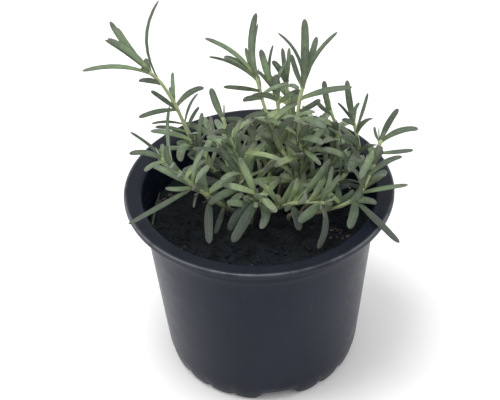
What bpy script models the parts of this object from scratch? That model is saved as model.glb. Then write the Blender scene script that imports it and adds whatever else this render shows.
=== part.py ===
"""A young potted rosemary: a round plastic nursery pot, its soil and the leafy shoots.

Frame: the origin is on the floor under the pot's axis, +Z is up and -Y is the front.
Lengths below are in millimetres and become metres where a mesh is written.
"""
import math
from typing import NamedTuple

import bmesh
import bpy
import numpy as np
from mathutils import Vector
from mathutils.bvhtree import BVHTree

MM = 0.001

# Pot
RIM_RADIUS = 60.0
RIM_HEIGHT = 92.0
LIP_DEPTH = 2.4
LIP_THICKNESS = 1.2
RIM_ROUND = 0.9
RIM_INNER_ROUND = 3.2
WALL_TOP_RADIUS = 53.0
WALL_TAPER = 0.0956
WALL_THICKNESS = 1.1
SHOULDER_HEIGHT = 80.0
SHOULDER_STEP = 0.35
WALL_FOOT = 14.0
FLOOR_UNDER = 4.4
FLOOR_TOP = 5.6
FLOOR_RADIUS = 42.0
FLOOR_CORNER = 8.6
FOOT_RADIUS = 42.4
FOOT_WIDTH = 1.8
FOOT_SLOPE = 1.2
FOOT_HEIGHT = 9.0
POT_SIDES = 64
SIDES_PER_LOBE = 3
LOBES_PER_QUARTER = 4
CUSP_LIFT = 1.4
CUSP_INSET = 0.5
NOTCH_LIFT = 3.8
FIRST_NOTCH_DEG = -81.0
DRAIN_RADIUS = 4.5
DRAIN_RING = 31.0
DRAIN_SIDES = 10
DRAIN_OVERCUT = 2.0

# Soil
SOIL_TOP = 76.0
SOIL_EDGE = 73.5
SOIL_SIDES = 36
SOIL_RINGS = (10.0, 20.0, 30.0, 40.0)
SOIL_REACH = 50.0
SOIL_LUMP = 1.1
SEAT_GAP = 0.4
HOLE_RADIUS = 1.75
HOLE_BOTTOM = 62.5
HOLE_CUTTER_TOP = 88.0
HOLE_SIDES = 8

# Stems and leaves
MERGE_DISTANCE = 0.00001
STEM_RADIUS = 1.15
STEM_TIP_RADIUS = 0.75
STEM_STEP = 7.0
LEAF_HALF_WIDTH = 1.95
LEAF_TOP = 0.35
LEAF_KEEL = 0.8
LEAF_BOW = 1.6
LEAST_LIFT = 0.05
# A leaf's sections as its share of the length and its width there against the full width.
LONG_SECTIONS = ((0.0, 0.55), (0.34, 0.88), (0.70, 1.0), (0.93, 0.62))
SHORT_SECTIONS = ((0.0, 0.55), (0.45, 0.95), (0.90, 0.70))
SHORT_LENGTH = 22.0
ROOT_SCATTER = 0.22
TIP_INSET = 0.12
SPECK = 0.0005
SCATTER_TRIES = 8
CLEARANCE = 0.45
FREE_FROM = 0.35
# The front view's eye, and the way it looks down on the plant. A leaf that must give way moves
# along the line from the eye, and its blade is turned a share of the way to face the eye.
EYE = np.array([5.6, -454.6, 447.0])
SIGHT = np.array([0.0, 0.781, -0.625])
PLACED_FACING = 0.5
FILLED_FACING = 0.25
GIVE_WAY = (0, 3, -3, 6, -6, 9, -9, 13, -13)
# Leaves between the hand-placed ones keep the low mound's outline of the front view,
# given as the least and the greatest rise over the rim at each x.
MOUND_X = (-50, -37, -25, -12, 0, 18, 31, 38, 47, 56)
MOUND_LOW = (8, 4, -3, -10, -10, -8, -8, -7, -5, 4)
MOUND_HIGH = (13, 20, 23, 28, 31, 31, 27, 25, 19, 12)


class Leaf(NamedTuple):
    """One leaf: its place on the stem's route, its tip, its bow away from the stem, its share of
    the common breadth, its sway to the right of its way and how far it faces the front view."""
    station: float
    tip: tuple
    bow: float = LEAF_BOW
    breadth: float = 1.0
    sway: float = 0.0
    facing: float = PLACED_FACING


class Shoot(NamedTuple):
    """One leafy stem: its route from the foot in the soil, its leaves and its filled stretch."""
    name: str
    route: tuple
    leaves: tuple
    fill_from: float
    fill_to: float


SHOOTS = (
    Shoot("shoot_left_spire",
          ((-6, 7, 63), (-6, 7, 78), (-11, 8, 83), (-24, 9, 100), (-30, 10, 113), (-35, 10, 128),
           (-40, 8, 141), (-45, 6, 149)),
          (Leaf(7.0, (-59.5, 9, 172), 0.6, 0.65, -0.6), Leaf(7.0, (-58.5, 22, 161), 1.0, 0.6, -0.7),
           Leaf(6.9, (-60.5, 3.5, 167), 1.0, 0.65, 1.4), Leaf(6.8, (-71.5, -2.5, 155.5), 3.0, 0.5, 0.1),
           Leaf(6.2, (-40.5, 28, 170.5), 6.0, 0.3, -1.3), Leaf(6.8, (-46.5, 11, 152.5), 1.0, 0.7),
           Leaf(6.1, (-48.5, -2.5, 150.5), 2.0, 0.65, -1.3),
           Leaf(4.9, (-44.5, 3, 141.5), 0.8, 0.5, -0.5),
           Leaf(5.1, (-36.5, 21.5, 138.5), 0.8, 0.45), Leaf(5.2, (-37.5, 12, 137), 0.5, 0.5, 0.7),
           Leaf(5.0, (-23.5, 25, 128), 2.4, 0.7, 0.4), Leaf(4.9, (-50, -3, 132), 2.0, 0.6, -0.8),
           Leaf(4.4, (-26.5, 30, 121.5), 2.0, 0.3), Leaf(4.2, (-26, 23, 119), 1.5, 0.4, 0.5),
           Leaf(4.4, (-46.5, 11.5, 118.5), 1.6, 0.3, -0.3), Leaf(3.4, (-24, 12, 123.5), 0.8, 0.65, 0.5),
           Leaf(4.1, (-44, 2.5, 123), 1.5, 0.4, -0.7), Leaf(3.8, (-48, 18, 110), 1.5, 0.65),
           Leaf(3.6, (-33.5, -6.5, 111), 1.5, 0.95, 1.9), Leaf(3.0, (-20, 26, 101), 1.6, 0.8),
           Leaf(7.0, (-62, 6, 165), 1.5, 0.35, 0.5)),
          2.2, 4.0),
    Shoot("shoot_left_low",
          ((-10, -3, 63), (-10, -3, 78), (-14, -6, 84), (-23, -10, 95), (-29, -12, 103),
           (-35, -13, 112), (-41, -13, 118)),
          (Leaf(5.6, (-54, -5, 126), 0.4, 0.3, 0.8), Leaf(5.7, (-53.5, -19, 125), 1.4, 0.6, 0.6),
           Leaf(5.7, (-47.5, -21.5, 117.5), 1.4, 0.6, -0.4), Leaf(5.2, (-38, 11, 128), 2.0, 0.4),
           Leaf(5.9, (-40.5, -8.5, 122), 0.5, 0.55, 0.5), Leaf(3.8, (-40, -16, 104), 0.8, 0.55, -1.4),
           Leaf(3.8, (-55.5, -30, 96), 2.6, 0.65, -2.2), Leaf(2.8, (-21.5, -32, 86), 2.0, 0.95, -0.8),
           Leaf(3.0, (-9.5, 0, 97), 1.4, 0.95), Leaf(4.0, (-26, 7, 109), 1.6, 0.6, 1.5),
           Leaf(3.4, (-28, -21, 97), 0.8, 0.3), Leaf(2.2, (-19.5, -21.5, 82.5), 1.0, 0.6, -0.9),
           Leaf(4.4, (-23, 1, 106), 1.2, 0.8), Leaf(2.4, (-27, 2, 94), 1.4, 0.8)),
          2.0, 5.2),
    Shoot("shoot_centre_left",
          ((-3, 2, 63), (-3, 2, 78), (-4, 0, 86), (-7, -1, 95), (-8, 0, 106), (-12, 3, 116),
           (-15, 6, 125)),
          (Leaf(5.9, (-19.5, 8.5, 138.5), 0.5, 0.75, -0.4), Leaf(3.2, (-16.5, -4, 117), 1.5, 0.6, -1.6),
           Leaf(4.2, (-28, -6.5, 117.5), 1.2, 0.55), Leaf(3.2, (6.5, -0.5, 103), 1.4, 0.4, 1.3),
           Leaf(4.3, (11, -12.5, 114.5), 1.4, 0.6, -0.5), Leaf(5.2, (-20, -10, 128), 1.2, 0.8),
           Leaf(5.0, (-3, 20, 113), 1.4, 0.8), Leaf(2.6, (-22, -14, 93), 1.6, 0.9),
           Leaf(4.5, (-19, 20, 114), 1.5, 0.8)),
          2.2, 5.2),
    Shoot("shoot_centre_spire",
          ((7, 3, 63), (7, 3, 78), (12, 2, 83), (16, 2, 91), (16, 3, 99), (10, 6, 107),
           (5, 12, 119), (2, 16, 128), (0, 19, 137)),
          (Leaf(8.0, (0.5, 27, 164), 1.4, 0.75, -1.0), Leaf(8.0, (1, 36.5, 153), 0.8, 0.35, -1.4),
           Leaf(8.0, (-22, 27, 152), 2.2, 0.5, 0.8), Leaf(7.8, (-20, 14.5, 150.5), 2.2, 0.4),
           Leaf(8.0, (-4.5, 27.5, 146.5), 0.8, 0.45, -0.7), Leaf(7.3, (-14, 6.5, 140.5), 1.8, 0.65, -1.5),
           Leaf(7.0, (-6, 6, 134), 0.8, 0.8, -0.4), Leaf(7.2, (0.5, 26.5, 132.5), 1.2, 0.4),
           Leaf(7.1, (14, 19, 133), 1.0, 0.55), Leaf(5.2, (0, -2, 121), 2.4, 0.7),
           Leaf(3.2, (-4, -9, 100.5), 1.2, 1.0), Leaf(3.4, (18, 1, 104), 0.8, 0.45),
           Leaf(6.2, (-6, -2, 129), 1.4, 0.8), Leaf(5.8, (18, 25, 119), 1.4, 0.8),
           Leaf(4.4, (2, -10, 108), 1.2, 0.8), Leaf(5.4, (16, 23, 113), 1.2, 0.8),
           Leaf(8.0, (-14, 24.5, 144), 2.0, 0.75, -0.2)),
          3.0, 6.6),
    Shoot("shoot_centre_tips",
          ((2, 8, 63), (2, 8, 78), (5, 9, 90), (8, 12, 102), (9, 15, 114), (9, 17, 124),
           (7, 19, 131)),
          (Leaf(6.0, (2, 27.5, 145.5), 0.6, 0.75, -0.2), Leaf(6.0, (7.5, 31, 145.5), 1.0, 0.3, -1.2),
           Leaf(5.2, (8, 16.5, 139.5), 0.5, 0.95, 0.6), Leaf(5.2, (-2, 8, 135), 1.2, 0.8),
           Leaf(5.0, (19, 18, 130), 0.8, 0.7), Leaf(4.4, (-2, 30, 107), 0.6, 0.95),
           Leaf(4.3, (20, 2, 124), 1.4, 0.8), Leaf(4.0, (-1, -2, 118), 1.2, 0.8),
           Leaf(3.7, (21, 27, 104), 1.4, 0.8), Leaf(5.6, (0.5, 23.5, 137), 0.8, 0.4),
           Leaf(5.8, (13, 24, 141), 0.8, 0.45)),
          2.0, 4.6),
    Shoot("shoot_back_tips",
          ((9, 11, 63), (9, 11, 78), (13, 14, 92), (14, 18, 105), (14, 22, 117), (13, 24, 130)),
          (Leaf(5.0, (11.5, 31.5, 143.5), 0.5, 0.5), Leaf(5.0, (14.5, 35.5, 141), 0.8, 0.45, 0.3),
           Leaf(5.0, (7, 20.5, 144), 1.0, 0.7), Leaf(5.0, (18, 13, 134), 1.2, 0.6),
           Leaf(4.5, (13, 42, 112), 1.4, 0.8), Leaf(4.2, (2, 36, 116), 1.4, 0.8),
           Leaf(3.9, (2, 35, 104), 1.4, 0.8), Leaf(3.6, (26, 35, 107), 1.4, 0.8),
           Leaf(3.2, (14, 42, 104), 1.6, 0.8), Leaf(4.0, (18.5, 26.5, 123), 0.6, 0.95),
           Leaf(3.0, (15.5, 30, 118), 0.4, 0.9), Leaf(4.5, (10.5, 27.5, 127.5), 0.4, 0.9)),
          2.0, 4.2),
    Shoot("shoot_right_spire",
          ((13, 5, 63), (13, 5, 78), (18, 5, 90), (19, 6, 101), (18, 9, 115), (18, 11, 126),
           (20, 13, 136)),
          (Leaf(6.0, (21, 25.5, 161.5), 0.5, 0.9, 0.3), Leaf(6.0, (21, 12, 156), 0.6, 0.8),
           Leaf(5.9, (26.5, 30.5, 149.5), 0.8, 0.7, 0.2), Leaf(6.0, (35, 22.5, 156.5), 1.4, 0.45, -1.5),
           Leaf(6.0, (9.5, 29.5, 152.5), 2.0, 0.35, 2.3), Leaf(5.9, (15, 9.5, 154), 1.0, 0.55, -1.3),
           Leaf(5.4, (41, 11.5, 135.5), 2.4, 0.85, 1.1), Leaf(4.8, (27, 5, 134), 0.4, 0.65, 0.9),
           Leaf(4.5, (29, -6, 127), 1.4, 0.8), Leaf(3.7, (28, -8, 120), 1.4, 0.8),
           Leaf(3.1, (7, -10, 110), 1.4, 0.8), Leaf(3.4, (27, -7, 108), 1.0, 0.55)),
          2.0, 5.2),
    Shoot("shoot_right_back",
          ((17, 9, 63), (17, 9, 78), (25, 9, 84), (34, 11, 100), (35, 14, 111), (32, 17, 120)),
          (Leaf(5.0, (29.5, 21.5, 132.5), 0.8, 0.65), Leaf(4.8, (25.5, 11.5, 129.5), 1.0, 0.45, -1.4),
           Leaf(4.2, (24, 27, 108), 1.4, 0.8), Leaf(3.6, (28, -2, 116), 1.2, 0.85),
           Leaf(4.0, (42, 28, 105), 1.4, 0.8), Leaf(3.0, (22, -1, 112), 1.2, 0.8),
           Leaf(2.7, (43, 25, 97), 1.4, 0.8)),
          2.0, 4.4),
    Shoot("shoot_right_upper",
          ((19, -1, 63), (19, -1, 78), (31, 0, 87), (40, 2, 99), (44, 5, 108), (42, 9, 119)),
          (Leaf(5.0, (39, 15.5, 136.5), 0.6, 0.7, 0.2), Leaf(5.0, (34.5, 4.5, 132.5), 0.8, 0.3),
           Leaf(5.0, (45, 19.5, 122), 0.8, 0.4, -0.9), Leaf(4.7, (49, 24.5, 123.5), 1.4, 0.35, 1.1),
           Leaf(4.6, (49, -0.5, 127.5), 2.2, 0.65, 0.7), Leaf(5.0, (36.5, 3, 125), 0.5, 0.6),
           Leaf(4.0, (36, -5, 122), 1.2, 0.8), Leaf(3.9, (39, -12, 108), 1.2, 0.8),
           Leaf(3.2, (28, -5, 115), 1.6, 0.8)),
          2.0, 4.4),
    Shoot("shoot_right_low",
          ((13, -5, 63), (13, -5, 78), (25, -10, 84), (36, -14, 91), (42, -14, 95), (46, -12, 101),
           (50, -7, 109), (53, -2, 117)),
          (Leaf(7.0, (60.5, 4, 129), 0.6, 0.65, -0.2), Leaf(7.0, (70.5, 10, 114), 1.4, 0.7, -0.7),
           Leaf(6.9, (51, 8, 117), 0.6, 0.3, -1.0), Leaf(6.4, (68, 4, 107), 1.6, 0.55, 1.7),
           Leaf(6.7, (43, -20, 110), 2.0, 0.8), Leaf(4.4, (64.5, -12.5, 100.5), 1.6, 0.6, 1.1),
           Leaf(3.9, (38, -31, 92), 2.0, 1.05, 0.4), Leaf(3.9, (58.5, -41, 92), 1.6, 0.95, 1.3),
           Leaf(3.6, (50, -25, 101), 1.0, 0.75), Leaf(3.0, (19, -10, 100), 2.4, 0.75),
           Leaf(5.6, (39, -18, 119), 1.4, 0.8), Leaf(2.9, (32, 6, 91), 1.4, 0.8)),
          2.2, 6.2),
    Shoot("shoot_front",
          ((1, -8, 63), (1, -8, 78), (7, -11, 87), (13, -15, 93), (21, -19, 97), (28, -21, 98)),
          (Leaf(5.0, (24.5, -39, 88), 1.0, 0.8, -1.6), Leaf(4.9, (16.5, -32.5, 97.5), 1.4, 1.2, 0.9),
           Leaf(3.1, (17, -27, 88), 1.0, 1.05), Leaf(3.1, (11, -23, 96), 0.5, 0.55),
           Leaf(4.0, (30, 0, 102), 1.6, 0.8), Leaf(3.3, (20, 3, 97), 1.4, 0.8),
           Leaf(4.7, (32, -8, 108), 1.0, 0.65)),
          2.2, 4.6),
    Shoot("shoot_front_left",
          ((-4, -8, 63), (-4, -8, 78), (-2, -12, 89), (-1, -15, 96), (-1, -17, 101)),
          (Leaf(3.1, (-11.5, -35.5, 89.5), 1.4, 1.1, -0.4), Leaf(2.9, (-13, -25, 87), 1.4, 0.95, 1.6),
           Leaf(4.0, (7.5, -29.5, 100.5), 1.4, 0.8), Leaf(2.5, (0.5, -30, 92), 1.4, 0.95, -3.0),
           Leaf(4.0, (-16, -14, 104), 1.2, 0.7)),
          2.0, 3.6),
    Shoot("shoot_back_left",
          ((-9, 13, 63), (-9, 13, 78), (-13, 18, 87), (-17, 25, 93), (-20, 31, 96)),
          (Leaf(4.0, (-26, 45, 98), 1.0, 0.8), Leaf(4.0, (-34, 36, 101), 1.4, 0.8),
           Leaf(4.0, (-9, 42, 98), 0.6, 0.8), Leaf(3.9, (-22, 40, 102), 0.8, 0.65)),
          1.9, 3.8),
    Shoot("shoot_back",
          ((1, 15, 63), (1, 15, 78), (0, 21, 90), (-2, 28, 98), (-3, 33, 102)),
          (Leaf(4.0, (-5, 44, 98), 1.0, 0.8), Leaf(4.0, (-16, 38, 101), 1.4, 0.8),
           Leaf(4.0, (11, 42, 103), 1.4, 0.8), Leaf(3.6, (4, 42, 100), 0.8, 0.65)),
          1.9, 3.8),
    Shoot("shoot_back_right",
          ((12, 17, 63), (12, 17, 78), (17, 22, 88), (22, 29, 95), (26, 34, 98)),
          (Leaf(4.0, (34, 47, 99), 1.0, 0.8), Leaf(4.0, (40, 34, 99), 0.8, 0.8),
           Leaf(4.0, (21, 50, 100), 1.4, 0.8), Leaf(3.9, (30, 39, 102), 0.8, 0.65)),
          1.9, 3.8),
)

FILL_SEED = 40
FILL_SPACING = 11.5
FILL_LEAN = (46.0, 66.0)
FILL_LENGTH = (16.0, 25.0)
FILL_BREADTH = (0.65, 0.9)
FILL_BOW = (1.0, 2.2)
FILL_SWING = 20.0
FILL_TURNS = (0.0, 22.0, -22.0, 44.0, -44.0)
FILL_SHRINK = (1.0, 0.8)
FIRST_PAIR_AXIS = (0.3, 0.9, 0.1)
ROUTE_SAMPLE = 0.02


def wall_radius(height):
    """Outer radius of the tapered wall at a height."""
    return WALL_TOP_RADIUS - (RIM_HEIGHT - height) * WALL_TAPER


def inner_radius(height):
    """Inner radius of the tapered wall at a height."""
    return wall_radius(height) - WALL_THICKNESS


def unit(vector):
    """The vector at length one."""
    return vector / np.linalg.norm(vector)


def start_scene():
    """Remove what the scene holds and make the model's and the cutters' collections."""
    for old in list(bpy.data.objects):
        bpy.data.objects.remove(old, do_unlink=True)
    collections = []
    for name in ("potted_rosemary", "cutters"):
        collection = bpy.data.collections.new(name)
        bpy.context.scene.collection.children.link(collection)
        collections.append(collection)
    return collections


def principled(name, colour, roughness):
    """A plain Principled material."""
    material = bpy.data.materials.new(name)
    material.use_nodes = True
    shader = material.node_tree.nodes["Principled BSDF"]
    shader.inputs["Base Color"].default_value = (*colour, 1.0)
    shader.inputs["Roughness"].default_value = roughness
    return material


def add_object(name, mesh, collection, material=None):
    """Link a new object that holds the mesh."""
    obj = bpy.data.objects.new(name, mesh)
    collection.objects.link(obj)
    if material is not None:
        mesh.materials.clear()
        mesh.materials.append(material)
    return obj


def bake(obj):
    """Swap the object's mesh for its evaluated one and drop its modifiers."""
    depsgraph = bpy.context.evaluated_depsgraph_get()
    depsgraph.update()
    mesh = bpy.data.meshes.new_from_object(obj.evaluated_get(depsgraph))
    obj.modifiers.clear()
    obj.data = mesh
    return mesh


def turned(name, profile, sides, collection, material):
    """A closed turned body: the profile runs down its outer side at +X, round +Z."""
    mesh = bpy.data.meshes.new(name)
    points = [(radius * MM, 0.0, height * MM) for radius, height in profile]
    mesh.from_pydata(points, [(k, k + 1) for k in range(len(points) - 1)], [])
    obj = add_object(name, mesh, collection, material)
    screw = obj.modifiers.new("turn", "SCREW")
    screw.axis = "Z"
    screw.angle = math.tau
    screw.steps = sides
    screw.render_steps = sides
    screw.use_merge_vertices = True
    screw.merge_threshold = MERGE_DISTANCE
    bake(obj)
    return obj


def pot_profile():
    """Radius and height of the pot's section, from the rim's outer edge round to its inner one."""
    lip_bottom = RIM_HEIGHT - LIP_DEPTH
    plate_under = RIM_HEIGHT - LIP_THICKNESS
    round_mid = 0.3 * RIM_ROUND
    rim = [(RIM_RADIUS - RIM_ROUND, RIM_HEIGHT),
           (RIM_RADIUS - round_mid, RIM_HEIGHT - round_mid),
           (RIM_RADIUS, RIM_HEIGHT - RIM_ROUND),
           (RIM_RADIUS, lip_bottom),
           (RIM_RADIUS - LIP_THICKNESS, lip_bottom),
           (RIM_RADIUS - LIP_THICKNESS, plate_under),
           (wall_radius(plate_under) + SHOULDER_STEP, plate_under)]
    wall = [(wall_radius(SHOULDER_HEIGHT) + SHOULDER_STEP, SHOULDER_HEIGHT),
            (wall_radius(SHOULDER_HEIGHT), SHOULDER_HEIGHT - SHOULDER_STEP),
            (wall_radius(WALL_FOOT), WALL_FOOT)]
    under = [(FOOT_RADIUS - FOOT_WIDTH, 0.0),
             (FOOT_RADIUS - FOOT_WIDTH - FOOT_SLOPE, FLOOR_UNDER),
             (0.0, FLOOR_UNDER)]
    inside = [(0.0, FLOOR_TOP),
              (FLOOR_RADIUS, FLOOR_TOP),
              (inner_radius(FLOOR_CORNER), FLOOR_CORNER),
              (inner_radius(RIM_HEIGHT - 1.6), RIM_HEIGHT - 1.6),
              (inner_radius(RIM_HEIGHT) + 0.25 * RIM_INNER_ROUND, RIM_HEIGHT - 0.5),
              (inner_radius(RIM_HEIGHT) + RIM_INNER_ROUND, RIM_HEIGHT)]
    return rim + wall + foot_profile() + under + inside + rim[:1]


def foot_profile():
    """The wall's lowest points, where it rounds in under the pot."""
    return [(wall_radius(8.0) - 0.1, 8.0), (wall_radius(3.2) - 0.6, 3.2), (FOOT_RADIUS, 0.0)]


def foot_lift(angle_deg):
    """Lift and inset of the foot at an angle: low cusps between the lobes, a tall notch per quarter."""
    step = 360.0 / POT_SIDES
    place = ((angle_deg - FIRST_NOTCH_DEG) % 90.0) / step
    notch_sides = 90.0 / step - LOBES_PER_QUARTER * SIDES_PER_LOBE
    distance_from_notch = min(place, 90.0 / step - place)
    if distance_from_notch < notch_sides / 2.0 - 0.5:
        return NOTCH_LIFT, 0.0
    in_lobe = (place - notch_sides / 2.0) % SIDES_PER_LOBE
    if min(in_lobe, SIDES_PER_LOBE - in_lobe) < 0.5:
        return CUSP_LIFT, CUSP_INSET
    return 0.0, 0.0


def scallop_feet(mesh):
    """Raise the foot's points into lobes, cusps and drainage notches."""
    feet = foot_profile() + [(FOOT_RADIUS - FOOT_WIDTH, 0.0)]
    for vertex in mesh.vertices:
        radius = math.hypot(vertex.co.x, vertex.co.y) / MM
        height = vertex.co.z / MM
        on_foot = min(math.hypot(radius - r, height - h) for r, h in feet) < 0.05
        if not on_foot:
            continue
        lift, inset = foot_lift(math.degrees(math.atan2(vertex.co.y, vertex.co.x)))
        share = 1.0 - height / FOOT_HEIGHT
        vertex.co.x *= (radius - inset * share) / radius
        vertex.co.y *= (radius - inset * share) / radius
        vertex.co.z += lift * share * MM


def cylinder_cutter(name, radius, low, high, centre, sides, cutters):
    """An upright closed cylinder to cut with."""
    mesh = bpy.data.meshes.new(name)
    shape = bmesh.new()
    bmesh.ops.create_cone(shape, cap_ends=True, segments=sides, radius1=radius * MM,
                          radius2=radius * MM, depth=(high - low) * MM)
    bmesh.ops.translate(shape, verts=shape.verts,
                        vec=(centre[0] * MM, centre[1] * MM, (low + high) * 0.5 * MM))
    shape.to_mesh(mesh)
    shape.free()
    cutter = add_object(name, mesh, cutters)
    cutter.display_type = "WIRE"
    cutter.hide_render = True
    return cutter


def cut(obj, cutter):
    """Take the cutter's shape out of the object."""
    boolean = obj.modifiers.new(cutter.name, "BOOLEAN")
    boolean.operation = "DIFFERENCE"
    boolean.solver = "EXACT"
    boolean.object = cutter


def smooth(obj, degrees):
    """Shade smooth with sharp edges past an angle."""
    obj.data.shade_smooth()
    obj.data.set_sharp_from_angle(angle=math.radians(degrees))


def make_pot(model, cutters):
    """The nursery pot: thin tapered wall, flat rim with a lip, scalloped feet and drain holes."""
    plastic = principled("pot_plastic", (0.035, 0.039, 0.047), 0.42)
    pot = turned("pot", pot_profile(), POT_SIDES, model, plastic)
    scallop_feet(pot.data)
    centres = [(0.0, 0.0)]
    for quarter in range(4):
        angle = math.radians(FIRST_NOTCH_DEG + 90.0 * quarter)
        centres.append((DRAIN_RING * math.cos(angle), DRAIN_RING * math.sin(angle)))
    for number, centre in enumerate(centres):
        cutter = cylinder_cutter(f"drain_{number}", DRAIN_RADIUS, FLOOR_UNDER - DRAIN_OVERCUT,
                                 FLOOR_TOP + DRAIN_OVERCUT, centre, DRAIN_SIDES, cutters)
        cut(pot, cutter)
    bake(pot)
    smooth(pot, 35.0)
    return pot


def soil_lump(x, y):
    """Height of the soil's crumbled surface over its even level: four crossed waves."""
    waves = (math.sin(0.31 * x + 1.0) * math.cos(0.27 * y)
             + 0.6 * math.sin(0.55 * y + 0.21 * x + 2.0)
             + 0.5 * math.cos(0.47 * x - 0.38 * y)
             + 0.4 * math.sin(0.83 * x) * math.sin(0.71 * y + 0.5))
    return SOIL_LUMP * waves


def make_soil(model, cutters):
    """The soil that fills the pot, with a lumpy top and a plain hole for each stem."""
    top = [(0.0, SOIL_TOP)]
    drop = SOIL_TOP - SOIL_EDGE
    top += [(radius, SOIL_TOP - (radius / SOIL_REACH) ** 2 * drop) for radius in SOIL_RINGS]
    low_corner = FLOOR_CORNER + 2.0 * SEAT_GAP
    side = [(inner_radius(SOIL_EDGE) - SEAT_GAP, SOIL_EDGE),
            (inner_radius(low_corner) - SEAT_GAP, low_corner),
            (FLOOR_RADIUS - 2.0 * SEAT_GAP, FLOOR_TOP + SEAT_GAP),
            (0.0, FLOOR_TOP + SEAT_GAP)]
    dark = principled("soil_dark", (0.012, 0.010, 0.008), 0.95)
    soil = turned("soil", top + side, SOIL_SIDES, model, dark)
    for vertex in soil.data.vertices:
        x, y, height = vertex.co.x / MM, vertex.co.y / MM, vertex.co.z / MM
        if height > SOIL_EDGE + 0.01:
            vertex.co.z += soil_lump(x, y) * MM
    for shoot in SHOOTS:
        hole = cylinder_cutter("hole_" + shoot.name, HOLE_RADIUS, HOLE_BOTTOM, HOLE_CUTTER_TOP,
                               shoot.route[0][:2], HOLE_SIDES, cutters)
        cut(soil, hole)
    bake(soil)
    smooth(soil, 40.0)
    return soil


def along(route, place):
    """Point of the stem at a place counted in route points: straight in soil, then a smooth curve."""
    points = np.array(route, float)
    first = min(int(place), len(points) - 2)
    share = place - first
    if first == 0:
        return points[0] + (points[1] - points[0]) * share
    before = points[first - 1]
    here = points[first]
    there = points[first + 1]
    beyond = points[first + 2] if first + 2 < len(points) else 2.0 * there - here
    squared = 2.0 * before - 5.0 * here + 4.0 * there - beyond
    cubed = 3.0 * here - before - 3.0 * there + beyond
    return 0.5 * (2.0 * here + (there - before) * share + squared * share ** 2 + cubed * share ** 3)


def heading(route, place):
    """Direction of the stem at a place on its route."""
    low = max(place - 0.05, 0.0)
    high = min(place + 0.05, len(route) - 1.0)
    return unit(along(route, high) - along(route, low))


def make_stem(shoot, model):
    """The stem as a six-sided tube that thins to its tip."""
    last = len(shoot.route) - 1
    places = [0.0]
    for number in range(1, last):
        span = np.linalg.norm(np.subtract(shoot.route[number + 1], shoot.route[number]))
        count = max(1, round(span / STEM_STEP))
        places += [number + k / count for k in range(count)]
    places.append(float(last))
    data = bpy.data.curves.new(shoot.name + "_route", "CURVE")
    data.dimensions = "3D"
    data.bevel_depth = STEM_RADIUS * MM
    data.bevel_resolution = 1
    data.use_fill_caps = True
    spline = data.splines.new("POLY")
    spline.points.add(len(places) - 1)
    for point, place in zip(spline.points, places):
        x, y, z = along(shoot.route, place) * MM
        point.co = (x, y, z, 1.0)
        point.radius = 1.0 + (STEM_TIP_RADIUS / STEM_RADIUS - 1.0) * place / last
    curve = add_object(shoot.name + "_route", data, model)
    depsgraph = bpy.context.evaluated_depsgraph_get()
    depsgraph.update()
    mesh = bpy.data.meshes.new_from_object(curve.evaluated_get(depsgraph))
    weld(mesh)
    stem = add_object(shoot.name, mesh, model)
    stem.matrix_world = curve.matrix_world
    bpy.data.objects.remove(curve, do_unlink=True)
    return stem


def weld(mesh):
    """Join the points that lie on each other."""
    shape = bmesh.new()
    shape.from_mesh(mesh)
    bmesh.ops.remove_doubles(shape, verts=shape.verts, dist=MERGE_DISTANCE)
    shape.to_mesh(mesh)
    shape.free()


def blade_frame(route, leaf, phase):
    """Root, bend point, tip and upper side of a leaf. No two roots share a point.

    The leaf bows along its upper side, which looks to the stem's tip, and sways across it. Then
    the side that the eye sees is turned further to the eye, the more the less it leaves the stem.
    """
    place = min(leaf.station, len(route) - 1.0 - TIP_INSET)
    tip = np.array(leaf.tip, float)
    root = along(route, place) + ROOT_SCATTER * np.sin(3.0 * tip + phase)
    way = unit(tip - root)
    inward = heading(route, place)
    inward = inward - way * (inward @ way)
    if np.linalg.norm(inward) < LEAST_LIFT:
        inward = LEAST_LIFT * unit(np.cross(way, (1.0, 0.0, 0.0)))
    sight = unit(0.5 * (root + tip) - EYE)
    right = unit(np.cross(sight, way))
    bend = 0.5 * (root + tip) + 2.0 * (leaf.bow * unit(inward) + leaf.sway * right)
    to_eye = unit(way * (sight @ way) - sight)
    if inward @ to_eye < 0.0:
        to_eye = -to_eye
    up = unit((1.0 - leaf.facing) * inward + leaf.facing * to_eye)
    return root, bend, tip, up


def blade(route, leaf, grow=0.0, start=0.0, phase=0):
    """Points and triangles of a leaf: three-sided sections along a bowed line to a blunt tip.

    A point of the line is a quadratic blend of root, bend point and tip. A section is flat
    above and keeled below. grow swells the leaf on all sides, and start leaves off its first share.
    """
    root, bend, tip, up = blade_frame(route, leaf, phase)
    is_short = np.linalg.norm(tip - root) < SHORT_LENGTH
    sections = SHORT_SECTIONS if is_short else LONG_SECTIONS
    sections = [(share, width) for share, width in sections if share >= start]
    points = []
    for share, width in sections:
        centre = (1 - share) ** 2 * root + 2 * share * (1 - share) * bend + share ** 2 * tip
        way = unit(2 * (1 - share) * (bend - root) + 2 * share * (tip - bend))
        across = unit(np.cross(way, up)) * (width * leaf.breadth * LEAF_HALF_WIDTH + grow)
        over = unit(np.cross(across, way))
        upper = centre + over * (LEAF_TOP + grow)
        lower = centre - over * (LEAF_KEEL * min(1.0, width + 0.2) + grow)
        points += [upper - across, lower, upper + across]
    points.append(tip + unit(tip - bend) * grow)
    faces = [(0, 1, 2)]
    for ring in range(len(sections) - 1):
        for k in range(3):
            a = 3 * ring + k
            b = 3 * ring + (k + 1) % 3
            faces += [(a, a + 3, b), (b, a + 3, b + 3)]
    last_ring = 3 * (len(sections) - 1)
    faces += [(last_ring + k, len(points) - 1, last_ring + (k + 1) % 3) for k in range(3)]
    return np.array(points), faces


def tree(points, faces):
    """Search tree over a set of triangles."""
    return BVHTree.FromPolygons([Vector(point) for point in points], faces)


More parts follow.
